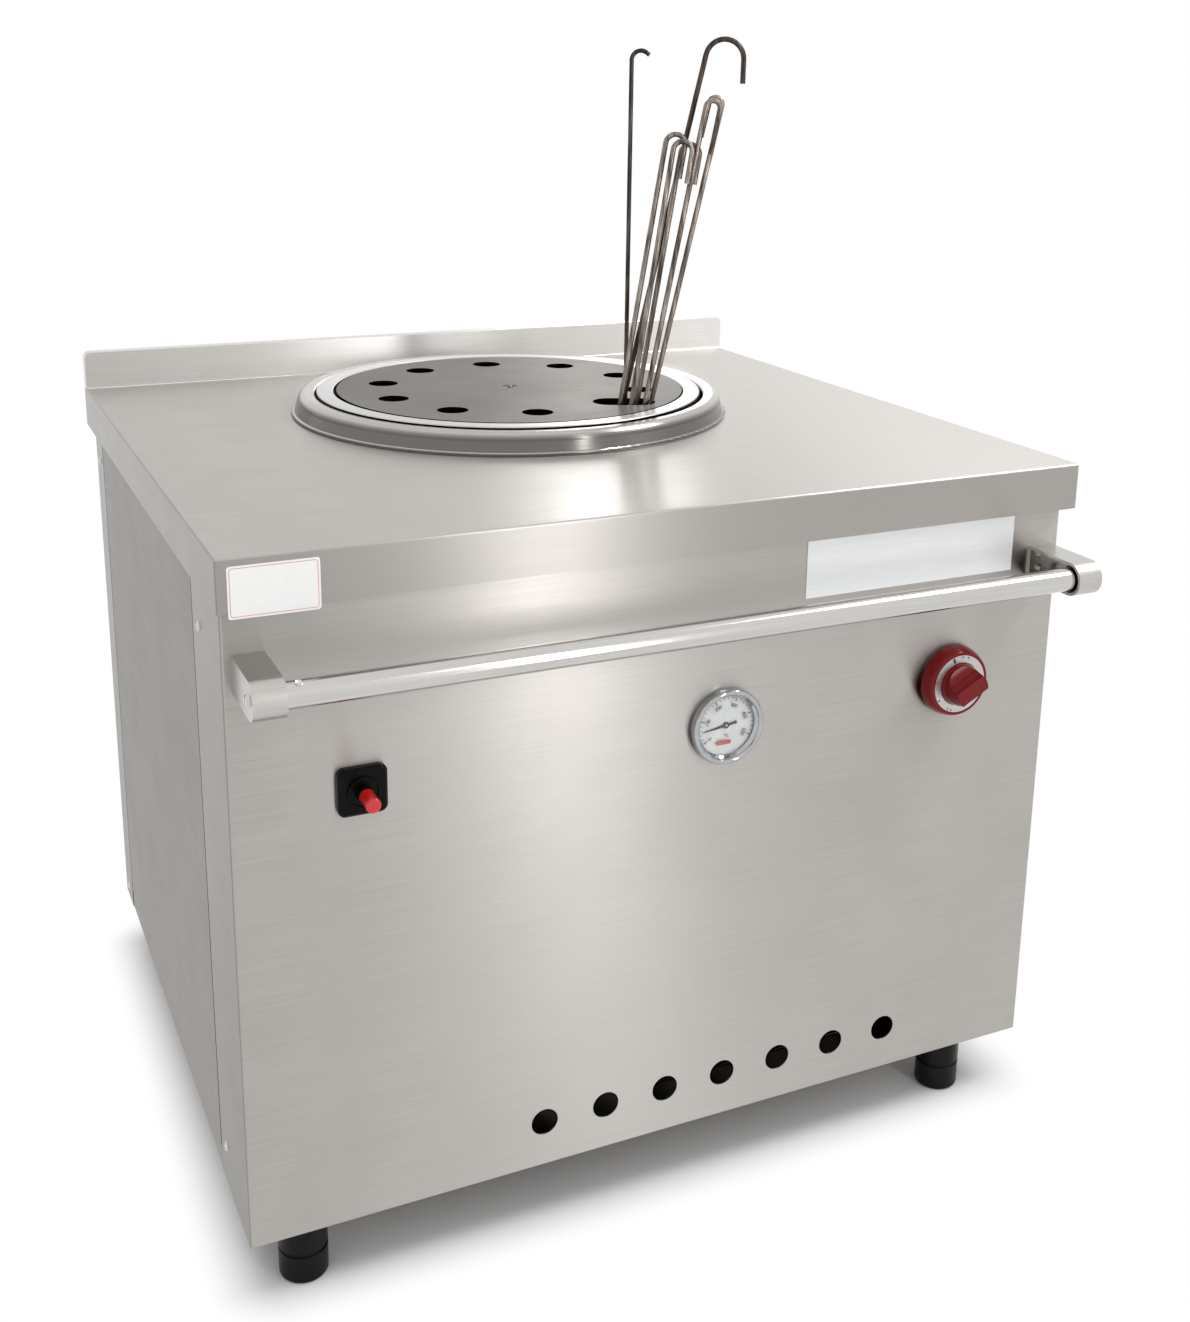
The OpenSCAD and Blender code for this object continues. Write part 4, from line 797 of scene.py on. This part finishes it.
def stroke(centre, angle, inner, outer, width, front):
    """A short bar on a face that looks to the front, which points away from the centre."""
    deselect()
    middle = (inner + outer) / 2
    turn = math.radians(angle)
    spot = Vector((centre.x + middle * math.cos(turn), front - PRINT_THICK / 2,
                   centre.z + middle * math.sin(turn)))
    bpy.ops.mesh.primitive_cube_add(size=1, location=spot)
    piece = bpy.context.object
    piece.scale = (outer - inner, PRINT_THICK, width)
    piece.rotation_euler = (0, -turn, 0)
    bpy.ops.object.transform_apply(location=False, rotation=True, scale=True)
    return piece


def figure(words, centre, angle, radius, height, front):
    """A number on a face that looks to the front, whose top points away from the centre."""
    deselect()
    turn = math.radians(angle)
    bpy.ops.object.text_add(location=(centre.x + radius * math.cos(turn), front,
                                      centre.z + radius * math.sin(turn)))
    piece = bpy.context.object
    piece.data.body = words
    piece.data.size = height
    piece.data.align_x = "CENTER"
    piece.data.align_y = "CENTER"
    piece.data.resolution_u = 3
    piece.data.extrude = FIGURE_DEPTH
    piece.data.offset = FIGURE_BOLD * height
    piece.rotation_euler = (math.radians(90), math.radians(90) - turn, 0)
    bpy.ops.object.convert(target="MESH")
    return bpy.context.object


class TANDOOR_OT_dial(bpy.types.Operator):
    """Scale, figures and red bar on the thermometer's dial"""
    bl_idname = "tandoor.dial"
    bl_label = "Thermometer dial"

    first: bpy.props.FloatProperty(name="First mark", description="Direction of the scale's zero",
                                   default=math.radians(212), subtype="ANGLE")
    last: bpy.props.FloatProperty(name="Last mark", description="Direction of the scale's end",
                                  default=math.radians(-27), subtype="ANGLE")

    def execute(self, context):
        # Pad-printed ink: black and matt
        ink = grained("black dial print", "#1A1A1A", "#262525", 2.0, roughness=0.5, bump=0.02)
        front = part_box("thermometer_dial")[0].y
        body = body_of_node("thermometer_dial")
        strokes = []
        for i in range(SCALE_STEPS + 1):
            inner, width = LONG_MARK if i % LONG_EVERY == 0 else SHORT_MARK
            strokes.append(stroke(THERMO, self.direction(i, SCALE_STEPS), inner, SCALE_OUTER,
                                  width, front))
        joined(strokes, "dial_scale", body, ink)
        steps = SCALE_STEPS // LONG_EVERY
        figures = [figure(str(i * FIGURE_ADDS), THERMO, self.direction(i, steps), FIGURE_RADIUS,
                          FIGURE_HEIGHT, front) for i in range(steps + 1)]
        figures.append(figure("\u00b0C", THERMO, 90, -UNIT_BELOW, UNIT_HEIGHT, front))
        joined(figures, "dial_figures", body, ink)
        # The same ink in red
        red = grained("red dial print", "#B9524F", "#AF4A47", 2.0, roughness=0.5, bump=0.02)
        thin_plate("dial_bar", THERMO.x + BAR_LEFT, THERMO.z + BAR_TOP, BAR_WIDTH, BAR_HEIGHT,
                   front, PRINT_THICK, BAR_CORNER, red, body)
        return {"FINISHED"}

    def direction(self, step, steps):
        """The direction of a step of the scale, in degrees."""
        first, last = math.degrees(self.first), math.degrees(self.last)
        return first + (last - first) * step / steps


class TANDOOR_OT_knob_marks(bpy.types.Operator):
    """Marks on the knob's ring"""
    bl_idname = "tandoor.knob_marks"
    bl_label = "Knob marks"

    def execute(self, context):
        # Pad-printed ink: black and matt
        ink = grained("black knob print", "#1B1919", "#272424", 2.0, roughness=0.5, bump=0.02)
        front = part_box("knob_ring")[0].y
        parts = [stroke(KNOB, angle, (KNOB_MARK_OUTER - length) * MM, KNOB_MARK_OUTER * MM,
                        width * MM, front) for angle, length, width in KNOB_MARKS]
        joined(parts, "knob_marks", body_of_node("knob_ring"), ink)
        return {"FINISHED"}


class TANDOOR_OT_small_parts(bpy.types.Operator):
    """The rivet on the rail and the ground weld under the upstand"""
    bl_idname = "tandoor.small_parts"
    bl_label = "Rivet and weld"

    def execute(self, context):
        # Ground and polished steel: bright, with fine dents
        bright = grained("bright rivet", "#E6E5E3", "#CFCDCA", 1.0, roughness=0.18, bump=0.1,
                         Metallic=1.0)
        self.rivet(bright)
        self.weld(bright)
        return {"FINISHED"}

    def rivet(self, material):
        """A round hollow rivet on the upper front of the rail's left end."""
        low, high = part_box("rail_tube")
        axis = (low + high) / 2
        radius = (high.z - low.z) / 2
        lean = math.radians(RIVET_LEAN)
        out = Vector((0, -math.cos(lean), math.sin(lean)))
        deselect()
        bpy.ops.mesh.primitive_cylinder_add(vertices=24, radius=RIVET_RADIUS, depth=RIVET_HEIGHT)
        rivet = bpy.context.object
        bpy.ops.object.mode_set(mode="EDIT")
        choose(rivet, lambda face: face.normal.z > 0.9)
        bpy.ops.mesh.inset(thickness=RIVET_RIM)
        bpy.ops.transform.translate(value=(0, 0, -RIVET_SINK))
        choose(rivet, lambda edge: all(
            rivet.data.vertices[i].co.z > RIVET_HEIGHT / 2 - NEAR and
            rivet.data.vertices[i].co.xy.length > RIVET_RADIUS - NEAR
            for i in edge.vertices), "EDGE")
        bpy.ops.mesh.bevel(offset=RIVET_EDGE, segments=3, affect="EDGES")
        bpy.ops.object.mode_set(mode="OBJECT")
        rivet.matrix_world = Matrix.Translation(
            Vector((RIVET_X, axis.y, axis.z)) + out * (radius + RIVET_OUT)
        ) @ out.to_track_quat("Z", "Y").to_matrix().to_4x4()
        settle(rivet, "rail_rivet", body_of_node("rail_tube"), material)

    def weld(self, material):
        """A thin round bead where the upstand meets the worktop."""
        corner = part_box("upstand_main")[0]
        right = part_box("upstand_end")[1].x
        deselect()
        bpy.ops.mesh.primitive_cylinder_add(
            vertices=16, radius=WELD_RADIUS, depth=right - corner.x,
            location=((corner.x + right) / 2, corner.y, corner.z),
            rotation=(0, math.radians(90), 0))
        weld = bpy.context.object
        bpy.ops.object.mode_set(mode="EDIT")
        choose(weld, lambda face: abs(face.normal.z) > 0.9)
        bpy.ops.mesh.inset(thickness=WELD_MARGIN)
        bpy.ops.object.mode_set(mode="OBJECT")
        settle(weld, "upstand_weld", body_of_node("upstand_main"), material)


# ---------------------------------------------------------------- studio

def background_rays(tree):
    """1 for what the eye sees directly, in a mirror or through glass, and 0 for other light."""
    path = add_node(tree, "ShaderNodeLightPath")
    seen = add_node(tree, "ShaderNodeMath",
                    {0: path.outputs["Is Camera Ray"], 1: path.outputs["Is Glossy Ray"]},
                    operation="MAXIMUM")
    return add_node(tree, "ShaderNodeMath",
                    {0: seen.outputs[0], 1: path.outputs["Is Transmission Ray"]},
                    operation="MAXIMUM").outputs[0]


class TANDOOR_OT_stage(bpy.types.Operator):
    """Floor, backdrop, soft lamps and the camera at the photograph's angle"""
    bl_idname = "tandoor.stage"
    bl_label = "Studio"

    def execute(self, context):
        self.floor()
        self.world()
        for name, values in LAMPS.items():
            self.lamp(name, *values)
        self.camera()
        context.scene.view_settings.view_transform = "Standard"
        return {"FINISHED"}

    def floor(self):
        """A pale floor with the oven's shadow under its base, deepened by painted shade, plain
        white past the cabinet.
        """
        deselect()
        bpy.ops.mesh.primitive_plane_add(size=FLOOR_SIZE, location=(0, 0, cad_box[0].z))
        floor = bpy.context.object
        floor.name = "floor"
        # Matt and pale, with no shine at all
        material, tree, shader = new_material("pale floor", Roughness=0.9, Specular_IOR_Level=0.0)
        seen = background_rays(tree)
        # Painted shade: the floor looks darker than the light it throws back
        tone = mix_colour(tree, seen, FLOOR_LIT, FLOOR_SEEN_SHADE)
        tree.links.new(tone, shader.inputs["Base Color"])
        share = add_node(tree, "ShaderNodeMath", {0: self.past_shadow(tree), 1: seen},
                         operation="MULTIPLY")
        glow = add_node(tree, "ShaderNodeEmission", {"Strength": 1.0})
        mix = add_node(tree, "ShaderNodeMixShader",
                       {0: share.outputs[0], 1: shader.outputs[0], 2: glow.outputs[0]})
        tree.links.new(mix.outputs[0], tree.nodes["Material Output"].inputs["Surface"])
        cover(material, "floor")

    def past_shadow(self, tree):
        """0 on the floor under the base, rising to 1 where the shadow has faded out."""
        place = add_node(tree, "ShaderNodeTexCoord").outputs["Object"]
        low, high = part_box("base_pan")
        from_middle = add_node(tree, "ShaderNodeVectorMath",
                               {0: place, 1: [(low.x + high.x) / 2, (low.y + high.y) / 2, 0]},
                               operation="SUBTRACT")
        size = add_node(tree, "ShaderNodeVectorMath", {0: from_middle.outputs[0]},
                        operation="ABSOLUTE")
        half = [(high.x - low.x) / 2 - SHADOW_IN, (high.y - low.y) / 2 - SHADOW_IN, 0]
        past = add_node(tree, "ShaderNodeVectorMath", {0: size.outputs[0], 1: half},
                        operation="SUBTRACT")
        outside = add_node(tree, "ShaderNodeVectorMath", {0: past.outputs[0], 1: (0, 0, 0)},
                           operation="MAXIMUM")
        away = add_node(tree, "ShaderNodeVectorMath", {0: outside.outputs[0]},
                        operation="LENGTH").outputs["Value"]
        return add_node(tree, "ShaderNodeMapRange",
                        {"Value": away, "From Min": 0.0, "From Max": SHADOW_FADE},
                        interpolation_type="SMOOTHSTEP").outputs[0]

    def world(self):
        """White to the eye, in metal and through glass, and a soft light on everything."""
        world = bpy.data.worlds.new("studio")
        bpy.context.scene.world = world
        world.use_nodes = True
        tree = world.node_tree
        way = add_node(tree, "ShaderNodeTexCoord").outputs["Generated"]
        split = add_node(tree, "ShaderNodeSeparateXYZ", {0: way})
        # The soft light comes more from above than from the sides
        height = add_node(tree, "ShaderNodeMapRange",
                          {"Value": split.outputs["Z"], "From Min": 0.0, "From Max": SOFT_TOP,
                           "To Min": SOFT_LOW, "To Max": SOFT_HIGH},
                          interpolation_type="SMOOTHSTEP")
        soft = tree.nodes["Background"]
        soft.inputs["Color"].default_value = (1, 1, 1, 1)
        tree.links.new(height.outputs[0], soft.inputs["Strength"])
        white = add_node(tree, "ShaderNodeBackground", {"Color": (1, 1, 1, 1), "Strength": 1.0})
        mix = add_node(tree, "ShaderNodeMixShader",
                       {0: background_rays(tree), 1: soft.outputs[0], 2: white.outputs[0]})
        tree.links.new(mix.outputs[0], tree.nodes["World Output"].inputs["Surface"])

    def lamp(self, name, place, aim, width, height, radiance):
        """A soft box, whose brightness is written as the radiance that a mirror would show."""
        data = bpy.data.lights.new(name, "AREA")
        data.shape = "RECTANGLE"
        data.size, data.size_y = width, height
        data.energy = radiance * math.pi * width * height
        lamp = bpy.data.objects.new(name, data)
        bpy.context.scene.collection.objects.link(lamp)
        lamp.location = place
        lamp.rotation_euler = (Vector(aim) - Vector(place)).to_track_quat("-Z", "Y").to_euler()

    def camera(self):
        """The camera at the photograph's angle, as the named values give it."""
        data = bpy.data.cameras.new("camera")
        camera = bpy.data.objects.new("camera", data)
        bpy.context.scene.collection.objects.link(camera)
        bpy.context.scene.camera = camera
        data.lens = LENS_MM
        data.sensor_width = SENSOR_MM
        data.shift_x, data.shift_y = SHIFT
        data.clip_start, data.clip_end = CAMERA_CLIP
        camera.location = CAMERA_PLACE
        camera.rotation_euler = [math.radians(a) for a in CAMERA_TURN]


# ---------------------------------------------------------------- panel

STEPS = ("steel", "inside", "controls", "plates", "dial", "knob_marks", "small_parts", "stage")


class TANDOOR_PT_panel(bpy.types.Panel):
    """Sizes, colours and steps of the tandoor's looks"""
    bl_idname = "TANDOOR_PT_panel"
    bl_label = "Tandoor"
    bl_space_type = "VIEW_3D"
    bl_region_type = "UI"
    bl_category = "Tandoor"

    def draw(self, context):
        for group in (context.scene.tandoor_sizes, context.scene.tandoor_colours):
            for name in group.__annotations__:
                self.layout.prop(group, name)
        for step in STEPS:
            self.layout.operator(f"tandoor.{step}")


CLASSES = (TandoorColours, TandoorSizes, TANDOOR_OT_steel, TANDOOR_OT_inside,
           TANDOOR_OT_controls, TANDOOR_OT_plates, TANDOOR_OT_dial, TANDOOR_OT_knob_marks,
           TANDOOR_OT_small_parts, TANDOOR_OT_stage, TANDOOR_PT_panel)


def register():
    for item in CLASSES:
        bpy.utils.register_class(item)
    bpy.types.Scene.tandoor_colours = bpy.props.PointerProperty(type=TandoorColours)
    bpy.types.Scene.tandoor_sizes = bpy.props.PointerProperty(type=TandoorSizes)


def unregister():
    del bpy.types.Scene.tandoor_sizes
    del bpy.types.Scene.tandoor_colours
    for item in reversed(CLASSES):
        bpy.utils.unregister_class(item)


def main():
    register()
    for step in STEPS:
        getattr(bpy.ops.tandoor, step)()
    bpy.context.view_layer.update()


if __name__ == "__main__":
    main()
